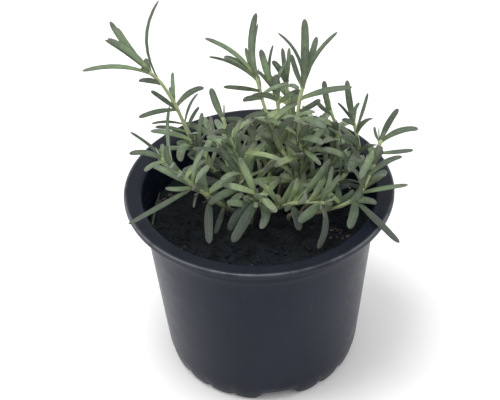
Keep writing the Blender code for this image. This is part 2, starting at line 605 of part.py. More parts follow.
def object_tree(obj):
    """Search tree over an object's mesh, in millimetres."""
    points = [tuple(vertex.co / MM) for vertex in obj.data.vertices]
    return tree(points, [tuple(face.vertices) for face in obj.data.polygons])


class Thicket:
    """The solids placed so far, which a new leaf of another shoot must stay clear of."""

    def __init__(self, fixed):
        self.fixed = fixed
        self.stems = {}
        self.leaves = {}

    def add_stem(self, name, obj):
        """Take in a shoot's stem."""
        self.stems[name] = object_tree(obj)
        self.leaves[name] = []

    def is_clear(self, name, route, leaf, among_own):
        """Whether a leaf, swollen by the clearance, touches nothing that it must not."""
        swollen = tree(*blade(route, leaf, CLEARANCE))
        if any(swollen.overlap(other) for other in self.fixed):
            return False
        for other, stem in self.stems.items():
            if other == name:
                continue
            if swollen.overlap(stem) or any(swollen.overlap(each) for each, _ in self.leaves[other]):
                return False
        if among_own:
            outer = tree(*blade(route, leaf, CLEARANCE, FREE_FROM))
            return not any(outer.overlap(each) for _, each in self.leaves[name])
        return True

    def add_leaf(self, name, route, leaf):
        """Take in a leaf, whole and without its root."""
        self.leaves[name].append((tree(*blade(route, leaf)), tree(*blade(route, leaf, 0.0, FREE_FROM))))


def give_way(thicket, shoot, leaf):
    """The leaf, moved along the line of sight as far as it must to be clear, or None."""
    sight = unit(np.array(leaf.tip) - EYE)
    for step in GIVE_WAY:
        moved = leaf._replace(tip=tuple(np.array(leaf.tip) + sight * step))
        if thicket.is_clear(shoot.name, shoot.route, moved, False):
            return moved
    return None


def in_mound(tip):
    """Whether a leaf's tip keeps the low mound's outline of the front view."""
    rise = -SIGHT[2] * tip[1] + SIGHT[1] * (tip[2] - RIM_HEIGHT)
    low = np.interp(tip[0], MOUND_X, MOUND_LOW)
    high = np.interp(tip[0], MOUND_X, MOUND_HIGH)
    return low < rise < high


def fill_places(shoot):
    """Places of the leaf pairs along the filled stretch of a stem."""
    samples = np.arange(shoot.fill_from, shoot.fill_to, ROUTE_SAMPLE)
    points = np.array([along(shoot.route, place) for place in samples])
    lengths = np.concatenate([[0.0], np.cumsum(np.linalg.norm(np.diff(points, axis=0), axis=1))])
    return np.interp(np.arange(0.0, lengths[-1], FILL_SPACING), lengths, samples)


def fill(thicket, shoot, seed):
    """Opposite leaf pairs, each pair a right angle on from the last, where there is room."""
    random = np.random.default_rng(seed)
    found = []
    for number, place in enumerate(fill_places(shoot)):
        axis = heading(shoot.route, place)
        side = unit(np.cross(axis, FIRST_PAIR_AXIS))
        front = np.cross(axis, side)
        for half in range(2):
            turn = 90.0 * number + 180.0 * half + random.uniform(-FILL_SWING, FILL_SWING)
            lean = math.radians(random.uniform(*FILL_LEAN))
            length = random.uniform(*FILL_LENGTH)
            bow = random.uniform(*FILL_BOW)
            breadth = random.uniform(*FILL_BREADTH)
            leaf = None
            for shrink in FILL_SHRINK:
                for shift in FILL_TURNS:
                    angle = math.radians(turn + shift)
                    outward = side * math.cos(angle) + front * math.sin(angle)
                    way = axis * math.cos(lean) + outward * math.sin(lean)
                    tip = along(shoot.route, place) + way * length * shrink
                    trial = Leaf(float(place), tuple(tip), bow, breadth, 0.0, FILLED_FACING)
                    if leaf is not None or not in_mound(tip):
                        continue
                    if thicket.is_clear(shoot.name, shoot.route, trial, True):
                        leaf = trial
            if leaf is not None:
                thicket.add_leaf(shoot.name, shoot.route, leaf)
                found.append(leaf)
    return found


def place_leaves(thicket):
    """Leaves of every shoot: the hand-placed ones of all shoots first, then those between them."""
    placed = {shoot.name: [] for shoot in SHOOTS}
    for shoot in SHOOTS:
        for leaf in shoot.leaves:
            moved = give_way(thicket, shoot, leaf)
            if moved is not None:
                thicket.add_leaf(shoot.name, shoot.route, moved)
                placed[shoot.name].append(moved)
    for number, shoot in enumerate(SHOOTS):
        placed[shoot.name] += fill(thicket, shoot, FILL_SEED + number)
    return placed


def tidy_body(mesh):
    """Weld specks, drop loose scraps and fill sealed hollows. Whether a sound closed body is left."""
    shape = bmesh.new()
    shape.from_mesh(mesh)
    bmesh.ops.remove_doubles(shape, verts=shape.verts, dist=SPECK * MM)
    unseen = set(shape.faces)
    largest = set()
    while unseen:
        stack = [unseen.pop()]
        body = set(stack)
        while stack:
            for edge in stack.pop().edges:
                near = unseen.intersection(edge.link_faces)
                unseen -= near
                body |= near
                stack += near
        largest = max(largest, body, key=len)
    scraps = [face for face in shape.faces if face not in largest]
    bmesh.ops.delete(shape, geom=scraps, context="FACES")
    is_sound = all(edge.is_manifold and edge.calc_length() > SPECK * MM for edge in shape.edges)
    is_sound = is_sound and all(vertex.is_manifold for vertex in shape.verts)
    shape.to_mesh(mesh)
    shape.free()
    return is_sound


def join_leaves(stem, route, leaves, material):
    """Fuse a shoot's leaves to its stem with one union, roots scattered until it is sound."""
    bare_stem = stem.data
    for phase in range(SCATTER_TRIES):
        group = bpy.data.collections.new(stem.name + "_leaves")
        bpy.context.scene.collection.children.link(group)
        for number, leaf in enumerate(leaves):
            points, faces = blade(route, leaf, phase=phase)
            mesh = bpy.data.meshes.new(f"{stem.name}_leaf_{number}")
            mesh.from_pydata([tuple(point * MM) for point in points], [], faces)
            add_object(mesh.name, mesh, group)
        stem.data = bare_stem
        union = stem.modifiers.new("leaves", "BOOLEAN")
        union.operation = "UNION"
        union.solver = "MANIFOLD"
        union.operand_type = "COLLECTION"
        union.collection = group
        bake(stem)
        for obj in list(group.objects):
            bpy.data.objects.remove(obj, do_unlink=True)
        bpy.data.collections.remove(group)
        if tidy_body(stem.data):
            break
    stem.data.materials.clear()
    stem.data.materials.append(material)
    smooth(stem, 50.0)


def main():
    model, cutters = start_scene()
    pot = make_pot(model, cutters)
    soil = make_soil(model, cutters)
    thicket = Thicket([object_tree(pot), object_tree(soil)])
    stems = {}
    for shoot in SHOOTS:
        stems[shoot.name] = make_stem(shoot, model)
        thicket.add_stem(shoot.name, stems[shoot.name])
    placed = place_leaves(thicket)
    for shoot in SHOOTS:
        green = principled(shoot.name + "_green", (0.16, 0.22, 0.13), 0.6)
        join_leaves(stems[shoot.name], shoot.route, placed[shoot.name], green)


main()
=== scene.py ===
"""The looks of a young potted rosemary: a nursery pot, its soil and fifteen leafy shoots.

Every piece is worked out in millimetres as whole numpy arrays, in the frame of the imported
solids: the origin is on the floor under the pot's axis, +Z is up and -Y is the front.
"""

import logging
import math
from collections.abc import Mapping, Sequence
from dataclasses import dataclass, field, replace
from enum import Enum
from typing import Any

import bpy
import numpy as np
from mathutils import Matrix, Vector
from numpy.typing import NDArray


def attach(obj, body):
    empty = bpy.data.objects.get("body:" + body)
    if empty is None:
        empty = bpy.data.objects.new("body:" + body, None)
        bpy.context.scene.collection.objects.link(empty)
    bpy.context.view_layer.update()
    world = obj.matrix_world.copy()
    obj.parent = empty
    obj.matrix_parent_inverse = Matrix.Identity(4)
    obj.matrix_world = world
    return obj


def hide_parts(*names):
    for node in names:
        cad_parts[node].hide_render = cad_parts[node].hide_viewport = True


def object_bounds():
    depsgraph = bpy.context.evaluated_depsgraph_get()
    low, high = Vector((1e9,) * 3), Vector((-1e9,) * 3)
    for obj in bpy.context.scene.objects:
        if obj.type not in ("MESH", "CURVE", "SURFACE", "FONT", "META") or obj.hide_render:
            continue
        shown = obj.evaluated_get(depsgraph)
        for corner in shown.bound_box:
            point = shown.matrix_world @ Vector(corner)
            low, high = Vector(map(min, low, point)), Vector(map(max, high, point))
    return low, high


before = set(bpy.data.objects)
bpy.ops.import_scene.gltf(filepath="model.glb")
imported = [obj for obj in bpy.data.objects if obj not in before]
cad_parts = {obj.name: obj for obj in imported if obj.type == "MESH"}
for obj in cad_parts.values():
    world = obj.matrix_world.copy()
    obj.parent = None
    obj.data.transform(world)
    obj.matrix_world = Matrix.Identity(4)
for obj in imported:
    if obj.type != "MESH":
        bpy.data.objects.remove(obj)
CAD_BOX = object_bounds()

Array = NDArray[np.float64]
Point = tuple[float, float, float]
Colour = tuple[float, float, float]
Span = tuple[float, float]
Tree = bpy.types.NodeTree
Node = bpy.types.Node
Socket = bpy.types.NodeSocket
Outputs = bpy.types.NodeOutputs
Material = bpy.types.Material
Object = bpy.types.Object

LOG = logging.getLogger("potted_rosemary")
MM = 0.001
BODY = "root"
UNSTRETCHED = (1.0, 1.0, 1.0)

# The solids' sizes that the finer pieces follow
RIM_RADIUS = 60.0
RIM_HEIGHT = 92.0
WALL_TOP_RADIUS = 53.0
WALL_TAPER = 0.0956
WALL_THICKNESS = 1.1
FLOOR_TOP = 5.6
FLOOR_RADIUS = 42.0
FLOOR_CORNER = 8.6
SOIL_TOP = 76.0
SOIL_EDGE = 73.5
STEM_RADIUS = 1.15
STEM_TIP_RADIUS = 0.75
LEAF_HALF_WIDTH = 1.95
LEAF_BOW = 1.6
ROOT_SCATTER = 0.22
ROOT_SCATTER_PITCH = 3.0
TIP_INSET = 0.12
# The front view's eye and the way it looks down. A leaf may have moved along the line from the
# eye, and its blade is turned a share of the way to face the eye
EYE = np.array([5.6, -454.6, 447.0])
SIGHT = np.array([0.0, 0.781, -0.625])
PLACED_FACING = 0.5
FILLED_FACING = 0.25
GIVE_WAY = np.array([0, 3, -3, 6, -6, 9, -9, 13, -13], float)
# The low mound's outline in the front view: least and greatest rise over the rim at each x
MOUND_X = (-50, -37, -25, -12, 0, 18, 31, 38, 47, 56)
MOUND_LOW = (8, 4, -3, -10, -10, -8, -8, -7, -5, 4)
MOUND_HIGH = (13, 20, 23, 28, 31, 31, 27, 25, 19, 12)
# The draws that placed the leaves between the listed ones
FILL_SEED = 40
FILL_SPACING = 11.5
FILL_LEAN = (46.0, 66.0)
FILL_LENGTH = (16.0, 25.0)
FILL_BREADTH = (0.65, 0.9)
FILL_BOW = (1.0, 2.2)
FILL_SWING = 20.0
FILL_TURNS = np.radians([0.0, 22.0, -22.0, 44.0, -44.0])
FILL_SHRINK = (1.0, 0.8)
FIRST_PAIR_AXIS = (0.3, 0.9, 0.1)
LEAST_LIFT = 0.05
SAME_PLACE = 0.1
SAME_HEIGHT = 0.01
# Distance between the pairs of leaves that are added in the mound
EXTRA_SPACING = 6.0
# How far every leaf stays inside the solids' box
BOX_INSET = 0.02
# The least length that a vector is divided by, and what keeps a direction from being none
TINY = 1e-12
NUDGE = 1e-6


@dataclass(frozen=True)
class Leaf:
    """One leaf: its place on the stem's route, its tip, its bow away from the stem, its share of
    the common breadth, its sway to the right of its way, how far it faces the front view and how
    light it is, which paints shade on it where it is below one."""
    station: float
    tip: Point
    bow: float = LEAF_BOW
    breadth: float = 1.0
    sway: float = 0.0
    facing: float = PLACED_FACING
    tone: float = 1.0


@dataclass(frozen=True)
class Shoot:
    """One leafy stem: its route from the foot in the soil, its leaves, its filled stretch, how
    light its upper leaves are, which paints shade on them where it is below one, and the numbers
    of the leaves that take painted shade."""
    name: str
    route: tuple[Point, ...]
    leaves: tuple[Leaf, ...]
    fill_from: float
    fill_to: float
    tone: float = 1.0
    dark: tuple[int, ...] = ()


SHOOTS: tuple[Shoot, ...] = (
    Shoot("shoot_left_spire",
          ((-6, 7, 63), (-6, 7, 78), (-11, 8, 83), (-24, 9, 100), (-30, 10, 113), (-35, 10, 128),
           (-40, 8, 141), (-45, 6, 149)),
          (Leaf(7.0, (-59.5, 9, 172), 0.6, 0.65, -0.6),
           Leaf(7.0, (-58.5, 22, 161), 1.0, 0.6, -0.7),
           Leaf(6.9, (-60.5, 3.5, 167), 1.0, 0.65, 1.4),
           Leaf(6.8, (-71.5, -2.5, 155.5), 3.0, 0.5, 0.1),
           Leaf(6.2, (-40.5, 28, 170.5), 6.0, 0.3, -1.3), Leaf(6.8, (-46.5, 11, 152.5), 1.0, 0.7),
           Leaf(6.1, (-48.5, -2.5, 150.5), 2.0, 0.65, -1.3),
           Leaf(4.9, (-44.5, 3, 141.5), 0.8, 0.5, -0.5),
           Leaf(5.1, (-36.5, 21.5, 138.5), 0.8, 0.45), Leaf(5.2, (-37.5, 12, 137), 0.5, 0.5, 0.7),
           Leaf(5.0, (-23.5, 25, 128), 2.4, 0.7, 0.4), Leaf(4.9, (-50, -3, 132), 2.0, 0.6, -0.8),
           Leaf(4.4, (-26.5, 30, 121.5), 2.0, 0.3), Leaf(4.2, (-26, 23, 119), 1.5, 0.4, 0.5),
           Leaf(4.4, (-46.5, 11.5, 118.5), 1.6, 0.3, -0.3),
           Leaf(3.4, (-24, 12, 123.5), 0.8, 0.65, 0.5), Leaf(4.1, (-44, 2.5, 123), 1.5, 0.4, -0.7),
           Leaf(3.8, (-48, 18, 110), 1.5, 0.65), Leaf(3.6, (-33.5, -6.5, 111), 1.5, 0.95, 1.9),
           Leaf(3.0, (-20, 26, 101), 1.6, 0.8), Leaf(7.0, (-62, 6, 165), 1.5, 0.35, 0.5)),
          2.2, 4.0, 1.0, (5, 6, 7, 10, 11, 13)),
    Shoot("shoot_left_low",
          ((-10, -3, 63), (-10, -3, 78), (-14, -6, 84), (-23, -10, 95), (-29, -12, 103),
           (-35, -13, 112), (-41, -13, 118)),
          (Leaf(5.6, (-54, -5, 126), 0.4, 0.3, 0.8), Leaf(5.7, (-53.5, -19, 125), 1.4, 0.6, 0.6),
           Leaf(5.7, (-47.5, -21.5, 117.5), 1.4, 0.6, -0.4), Leaf(5.2, (-38, 11, 128), 2.0, 0.4),
           Leaf(5.9, (-40.5, -8.5, 122), 0.5, 0.55, 0.5),
           Leaf(3.8, (-40, -16, 104), 0.8, 0.55, -1.4),
           Leaf(3.8, (-55.5, -30, 96), 2.6, 0.65, -2.2),
           Leaf(2.8, (-21.5, -32, 86), 2.0, 0.95, -0.8), Leaf(3.0, (-9.5, 0, 97), 1.4, 0.95),
           Leaf(4.0, (-26, 7, 109), 1.6, 0.6, 1.5), Leaf(3.4, (-28, -21, 97), 0.8, 0.3),
           Leaf(2.2, (-19.5, -21.5, 82.5), 1.0, 0.6, -0.9), Leaf(4.4, (-23, 1, 106), 1.2, 0.8),
           Leaf(2.4, (-27, 2, 94), 1.4, 0.8)),
          2.0, 5.2, 0.8, (6,)),
    Shoot("shoot_centre_left",
          ((-3, 2, 63), (-3, 2, 78), (-4, 0, 86), (-7, -1, 95), (-8, 0, 106), (-12, 3, 116),
           (-15, 6, 125)),
          (Leaf(5.9, (-19.5, 8.5, 138.5), 0.5, 0.75, -0.4),
           Leaf(3.2, (-16.5, -4, 117), 1.5, 0.6, -1.6), Leaf(4.2, (-28, -6.5, 117.5), 1.2, 0.55),
           Leaf(3.2, (6.5, -0.5, 103), 1.4, 0.4, 1.3),
           Leaf(4.3, (11, -12.5, 114.5), 1.4, 0.6, -0.5), Leaf(5.2, (-20, -10, 128), 1.2, 0.8),
           Leaf(5.0, (-3, 20, 113), 1.4, 0.8), Leaf(2.6, (-22, -14, 93), 1.6, 0.9),
           Leaf(4.5, (-19, 20, 114), 1.5, 0.8)),
          2.2, 5.2, 0.7, (2,)),
    Shoot("shoot_centre_spire",
          ((7, 3, 63), (7, 3, 78), (12, 2, 83), (16, 2, 91), (16, 3, 99), (10, 6, 107),
           (5, 12, 119), (2, 16, 128), (0, 19, 137)),
          (Leaf(8.0, (0.5, 27, 164), 1.4, 0.75, -1.0), Leaf(8.0, (1, 36.5, 153), 0.8, 0.35, -1.4),
           Leaf(8.0, (-22, 27, 152), 2.2, 0.5, 0.8), Leaf(7.8, (-20, 14.5, 150.5), 2.2, 0.4),
           Leaf(8.0, (-4.5, 27.5, 146.5), 0.8, 0.45, -0.7),
           Leaf(7.3, (-14, 6.5, 140.5), 1.8, 0.65, -1.5), Leaf(7.0, (-6, 6, 134), 0.8, 0.8, -0.4),
           Leaf(7.2, (0.5, 26.5, 132.5), 1.2, 0.4), Leaf(7.1, (14, 19, 133), 1.0, 0.55),
           Leaf(5.2, (0, -2, 121), 2.4, 0.7), Leaf(3.2, (-4, -9, 100.5), 1.2, 1.0),
           Leaf(3.4, (18, 1, 104), 0.8, 0.45), Leaf(6.2, (-6, -2, 129), 1.4, 0.8),
           Leaf(5.8, (18, 25, 119), 1.4, 0.8), Leaf(4.4, (2, -10, 108), 1.2, 0.8),
           Leaf(5.4, (16, 23, 113), 1.2, 0.8), Leaf(8.0, (-14, 24.5, 144), 2.0, 0.75, -0.2)),
          3.0, 6.6, 0.8),
    Shoot("shoot_centre_tips",
          ((2, 8, 63), (2, 8, 78), (5, 9, 90), (8, 12, 102), (9, 15, 114), (9, 17, 124),
           (7, 19, 131)),
          (Leaf(6.0, (2, 27.5, 145.5), 0.6, 0.75, -0.2),
           Leaf(6.0, (7.5, 31, 145.5), 1.0, 0.3, -1.2),
           Leaf(5.2, (8, 16.5, 139.5), 0.5, 0.95, 0.6), Leaf(5.2, (-2, 8, 135), 1.2, 0.8),
           Leaf(5.0, (19, 18, 130), 0.8, 0.7), Leaf(4.4, (-2, 30, 107), 0.6, 0.95),
           Leaf(4.3, (20, 2, 124), 1.4, 0.8), Leaf(4.0, (-1, -2, 118), 1.2, 0.8),
           Leaf(3.7, (21, 27, 104), 1.4, 0.8), Leaf(5.6, (0.5, 23.5, 137), 0.8, 0.4),
           Leaf(5.8, (13, 24, 141), 0.8, 0.45)),
          2.0, 4.6, 0.9),
    Shoot("shoot_back_tips",
          ((9, 11, 63), (9, 11, 78), (13, 14, 92), (14, 18, 105), (14, 22, 117), (13, 24, 130)),
          (Leaf(5.0, (11.5, 31.5, 143.5), 0.5, 0.5), Leaf(5.0, (14.5, 35.5, 141), 0.8, 0.45, 0.3),
           Leaf(5.0, (7, 20.5, 144), 1.0, 0.7), Leaf(5.0, (18, 13, 134), 1.2, 0.6),
           Leaf(4.5, (13, 42, 112), 1.4, 0.8), Leaf(4.2, (2, 36, 116), 1.4, 0.8),
           Leaf(3.9, (2, 35, 104), 1.4, 0.8), Leaf(3.6, (26, 35, 107), 1.4, 0.8),
           Leaf(3.2, (14, 42, 104), 1.6, 0.8), Leaf(4.0, (18.5, 26.5, 123), 0.6, 0.95),
           Leaf(3.0, (15.5, 30, 118), 0.4, 0.9), Leaf(4.5, (10.5, 27.5, 127.5), 0.4, 0.9)),
          2.0, 4.2, 0.8),
    Shoot("shoot_right_spire",
          ((13, 5, 63), (13, 5, 78), (18, 5, 90), (19, 6, 101), (18, 9, 115), (18, 11, 126),
           (20, 13, 136)),
          (Leaf(6.0, (21, 25.5, 161.5), 0.5, 0.9, 0.3), Leaf(6.0, (21, 12, 156), 0.6, 0.8),
           Leaf(5.9, (26.5, 30.5, 149.5), 0.8, 0.7, 0.2),
           Leaf(6.0, (35, 22.5, 156.5), 1.4, 0.45, -1.5),
           Leaf(6.0, (9.5, 29.5, 152.5), 2.0, 0.35, 2.3),
           Leaf(5.9, (15, 9.5, 154), 1.0, 0.55, -1.3),
           Leaf(5.4, (41, 11.5, 135.5), 2.4, 0.85, 1.1), Leaf(4.8, (27, 5, 134), 0.4, 0.65, 0.9),
           Leaf(4.5, (29, -6, 127), 1.4, 0.8), Leaf(3.7, (28, -8, 120), 1.4, 0.8),
           Leaf(3.1, (7, -10, 110), 1.4, 0.8), Leaf(3.4, (27, -7, 108), 1.0, 0.55)),
          2.0, 5.2, 0.5),
    Shoot("shoot_right_back",
          ((17, 9, 63), (17, 9, 78), (25, 9, 84), (34, 11, 100), (35, 14, 111), (32, 17, 120)),
          (Leaf(5.0, (29.5, 21.5, 132.5), 0.8, 0.65),
           Leaf(4.8, (25.5, 11.5, 129.5), 1.0, 0.45, -1.4), Leaf(4.2, (24, 27, 108), 1.4, 0.8),
           Leaf(3.6, (28, -2, 116), 1.2, 0.85), Leaf(4.0, (42, 28, 105), 1.4, 0.8),
           Leaf(3.0, (22, -1, 112), 1.2, 0.8), Leaf(2.7, (43, 25, 97), 1.4, 0.8)),
          2.0, 4.4, 0.7),
    Shoot("shoot_right_upper",
          ((19, -1, 63), (19, -1, 78), (31, 0, 87), (40, 2, 99), (44, 5, 108), (42, 9, 119)),
          (Leaf(5.0, (39, 15.5, 136.5), 0.6, 0.7, 0.2), Leaf(5.0, (34.5, 4.5, 132.5), 0.8, 0.3),
           Leaf(5.0, (45, 19.5, 122), 0.8, 0.4, -0.9),
           Leaf(4.7, (49, 24.5, 123.5), 1.4, 0.35, 1.1),
           Leaf(4.6, (49, -0.5, 127.5), 2.2, 0.65, 0.7), Leaf(5.0, (36.5, 3, 125), 0.5, 0.6),
           Leaf(4.0, (36, -5, 122), 1.2, 0.8), Leaf(3.9, (39, -12, 108), 1.2, 0.8),
           Leaf(3.2, (28, -5, 115), 1.6, 0.8)),
          2.0, 4.4, 0.6),
    Shoot("shoot_right_low",
          ((13, -5, 63), (13, -5, 78), (25, -10, 84), (36, -14, 91), (42, -14, 95), (46, -12, 101),
           (50, -7, 109), (53, -2, 117)),
          (Leaf(7.0, (60.5, 4, 129), 0.6, 0.65, -0.2), Leaf(7.0, (70.5, 10, 114), 1.4, 0.7, -0.7),
           Leaf(6.9, (51, 8, 117), 0.6, 0.3, -1.0), Leaf(6.4, (68, 4, 107), 1.6, 0.55, 1.7),
           Leaf(6.7, (43, -20, 110), 2.0, 0.8), Leaf(4.4, (64.5, -12.5, 100.5), 1.6, 0.6, 1.1),
           Leaf(3.9, (38, -31, 92), 2.0, 1.05, 0.4), Leaf(3.9, (58.5, -41, 92), 1.6, 0.95, 1.3),
           Leaf(3.6, (50, -25, 101), 1.0, 0.75), Leaf(3.0, (19, -10, 100), 2.4, 0.75),
           Leaf(5.6, (39, -18, 119), 1.4, 0.8), Leaf(2.9, (32, 6, 91), 1.4, 0.8)),
          2.2, 6.2, 0.6, (0, 1, 3, 7)),
    Shoot("shoot_front",
          ((1, -8, 63), (1, -8, 78), (7, -11, 87), (13, -15, 93), (21, -19, 97), (28, -21, 98)),
          (Leaf(5.0, (24.5, -39, 88), 1.0, 0.8, -1.6),
           Leaf(4.9, (16.5, -32.5, 97.5), 1.4, 1.2, 0.9), Leaf(3.1, (17, -27, 88), 1.0, 1.05),
           Leaf(3.1, (11, -23, 96), 0.5, 0.55), Leaf(4.0, (30, 0, 102), 1.6, 0.8),
           Leaf(3.3, (20, 3, 97), 1.4, 0.8), Leaf(4.7, (32, -8, 108), 1.0, 0.65)),
          2.2, 4.6, 1.0, (1, 3)),
    Shoot("shoot_front_left",
          ((-4, -8, 63), (-4, -8, 78), (-2, -12, 89), (-1, -15, 96), (-1, -17, 101)),
          (Leaf(3.1, (-11.5, -35.5, 89.5), 1.4, 1.1, -0.4),
           Leaf(2.9, (-13, -25, 87), 1.4, 0.95, 1.6), Leaf(4.0, (7.5, -29.5, 100.5), 1.4, 0.8),
           Leaf(2.5, (0.5, -30, 92), 1.4, 0.95, -3.0), Leaf(4.0, (-16, -14, 104), 1.2, 0.7)),
          2.0, 3.6, 1.0, (2,)),
    Shoot("shoot_back_left",
          ((-9, 13, 63), (-9, 13, 78), (-13, 18, 87), (-17, 25, 93), (-20, 31, 96)),
          (Leaf(4.0, (-26, 45, 98), 1.0, 0.8), Leaf(4.0, (-34, 36, 101), 1.4, 0.8),
           Leaf(4.0, (-9, 42, 98), 0.6, 0.8), Leaf(3.9, (-22, 40, 102), 0.8, 0.65)),
          1.9, 3.8),
    Shoot("shoot_back",
          ((1, 15, 63), (1, 15, 78), (0, 21, 90), (-2, 28, 98), (-3, 33, 102)),
          (Leaf(4.0, (-5, 44, 98), 1.0, 0.8), Leaf(4.0, (-16, 38, 101), 1.4, 0.8),
           Leaf(4.0, (11, 42, 103), 1.4, 0.8), Leaf(3.6, (4, 42, 100), 0.8, 0.65)),
          1.9, 3.8),
    Shoot("shoot_back_right",
          ((12, 17, 63), (12, 17, 78), (17, 22, 88), (22, 29, 95), (26, 34, 98)),
          (Leaf(4.0, (34, 47, 99), 1.0, 0.8), Leaf(4.0, (40, 34, 99), 0.8, 0.8),
           Leaf(4.0, (21, 50, 100), 1.4, 0.8), Leaf(3.9, (30, 39, 102), 0.8, 0.65)),
          1.9, 3.8),
)


def unit(vectors: Array) -> Array:
    """The vectors along the last axis, each at length one."""
    return vectors / np.maximum(np.linalg.norm(vectors, axis=-1, keepdims=True), TINY)


def smooth_step(value: Array) -> Array:
    """Zero below 0, one above 1, and three squares less two cubes of the value between them."""
    share = np.clip(value, 0.0, 1.0)
    return share * share * (3.0 - 2.0 * share)


def wall_radius(height: float | Array) -> Any:
    """Outer radius of the pot's tapered wall at a height."""
    return WALL_TOP_RADIUS - (RIM_HEIGHT - height) * WALL_TAPER


def inner_radius(height: float | Array) -> Any:
    """Inner radius of the pot's tapered wall at a height."""
    return wall_radius(height) - WALL_THICKNESS


@dataclass
class Surface:
    """A closed mesh in the making.

    Points are in millimetres. Faces are rows of four or three point numbers. values holds
    named numbers, one a point, which the finishes read as attributes. slots holds the
    number of each face's finish, the four-sided faces first, and is all zeros unless given.
    """
    points: Array
    quads: NDArray[np.int64]
    triangles: NDArray[np.int64]
    values: dict[str, Array] = field(default_factory=dict)
    slots: NDArray[np.int64] = field(default_factory=lambda: np.zeros(0, np.int64))

    def __post_init__(self) -> None:
        """Gives every face the first finish where none is named."""
        if not len(self.slots):
            self.slots = np.zeros(len(self.quads) + len(self.triangles), np.int64)

    def finished(self, slot: int) -> "Surface":
        """The same surface with one finish on all its faces."""
        return replace(self, slots=np.full(len(self.slots), slot))

    def mesh(self, name: str) -> bpy.types.Mesh:
        """A Blender mesh with the surface's faces and its points in metres.

        Args:
            name: The mesh's name.

        Returns:
            The mesh, without the values and finishes.
        """
        mesh = bpy.data.meshes.new(name)
        faces = self.quads.tolist() + self.triangles.tolist()
        mesh.from_pydata((self.points * MM).tolist(), [], faces)
        return mesh


def join(surfaces: Sequence[Surface]) -> Surface:
    """One surface that holds several.

    Args:
        surfaces: The surfaces. A value that one of them lacks is zero there.

    Returns:
        The joined surface, with the point numbers of each part counted on.
    """
    offsets = np.cumsum([0] + [len(each.points) for each in surfaces])
    names = sorted({name for each in surfaces for name in each.values})
    values = {name: np.concatenate([each.values.get(name, np.zeros(len(each.points)))
                                    for each in surfaces])
              for name in names}
    four = [each.slots[:len(each.quads)] for each in surfaces]
    three = [each.slots[len(each.quads):] for each in surfaces]
    return Surface(
        points=np.concatenate([each.points for each in surfaces]),
        quads=np.concatenate([each.quads + start for each, start in zip(surfaces, offsets)]),
        triangles=np.concatenate([each.triangles + start
                                  for each, start in zip(surfaces, offsets)]),
        values=values,
        slots=np.concatenate(four + three),
    )


def tubes(rings: Array, first: Array, last: Array) -> Surface:
    """Closed tubes, each a stack of rings with a point at either end.

    Neighbouring points of neighbouring rings make the four-sided faces, and each end point
    makes a fan with the ring beside it. Rings run on along the tube, and their points turn
    right-handed about that way, which points the faces outwards.

    Args:
        rings: Points in millimetres, as tubes by rings by points round a ring by three.
        first: The point before each tube's first ring.
        last: The point after each tube's last ring.

    Returns:
        The surface of all the tubes.
    """
    count, rows, round_it, _ = rings.shape
    block = rows * round_it + 2
    start = (np.arange(count) * block)[:, None, None]
    column = np.arange(round_it)[None, None, :]
    beside = (column + 1) % round_it
    here = start + np.arange(rows - 1)[None, :, None] * round_it
    above = here + round_it
    quads = np.stack([here + column, here + beside, above + beside, above + column], -1)
    base, column, beside = start[:, :, 0], column[:, 0], beside[:, 0]
    top = base + (rows - 1) * round_it
    foot_point, end_point = (np.broadcast_to(base + block - back, (count, round_it))
                             for back in (2, 1))
    opening = np.stack([foot_point, base + beside, base + column], -1)
    ending = np.stack([end_point, top + column, top + beside], -1)
    points = np.concatenate([rings.reshape(count, -1, 3), first[:, None], last[:, None]], 1)
    triangles = np.concatenate([opening.reshape(-1, 3), ending.reshape(-1, 3)])
    return Surface(points.reshape(-1, 3), quads.reshape(-1, 4), triangles)


def tube_values(inner: Array, first: Array, last: Array) -> Array:
    """Numbers for the points of tubes, in the order that tubes() keeps them."""
    rows = inner.reshape(len(inner), -1)
    return np.concatenate([rows, first[:, None], last[:, None]], 1).ravel()


def on_axis(height: float) -> Array:
    """A point on the pot's axis, as one row."""
    return np.array([[0.0, 0.0, height]])


def part_along(vectors: Array, way: Array) -> Array:
    """The vectors' parts along unit directions."""
    return way * (vectors * way).sum(-1, keepdims=True)


def around(axis: Array, angles: Array) -> Array:
    """Directions square to unit axes, at angles from where the first pair of leaves stands."""
    side = unit(np.cross(axis, FIRST_PAIR_AXIS))
    return side * np.cos(angles) + np.cross(axis, side) * np.sin(angles)


def new_object(name: str, data: bpy.types.ID) -> Object:
    """An object in the scene that shows a mesh, a lamp or a camera.

    Args:
        name: The object's name.
        data: What it shows.

    Returns:
        The object, at the origin.
    """
    item = bpy.data.objects.new(name, data)
    bpy.context.scene.collection.objects.link(item)
    return item


def make_piece(name: str, surface: Surface, finishes: Sequence[Material],
               stands_for: Sequence[str] = (), sharp_deg: float = 60.0) -> Object:
    """A piece of the object at the origin that rides on the body.

    Args:
        name: The piece's name.
        surface: Its mesh in millimetres.
        finishes: Its materials, in the order of the surface's slot numbers.
        stands_for: The solids that it replaces.
        sharp_deg: The angle past which an edge is shaded sharp.

    Returns:
        The new object.
    """
    mesh = surface.mesh(name)
    for value_name, numbers in surface.values.items():
        attribute = mesh.attributes.new(value_name, "FLOAT", "POINT")
        attribute.data.foreach_set("value", numbers.astype(np.float32))
    mesh.polygons.foreach_set("material_index", surface.slots.astype(np.int32))
    for finish in finishes:
        mesh.materials.append(finish)
    mesh.shade_smooth()
    mesh.set_sharp_from_angle(angle=math.radians(sharp_deg))
    mesh.update()
    piece = new_object(name, mesh)
    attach(piece, BODY)
    if stands_for:
        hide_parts(*stands_for)
    LOG.info("%s: %d faces", name, len(mesh.polygons))
    return piece


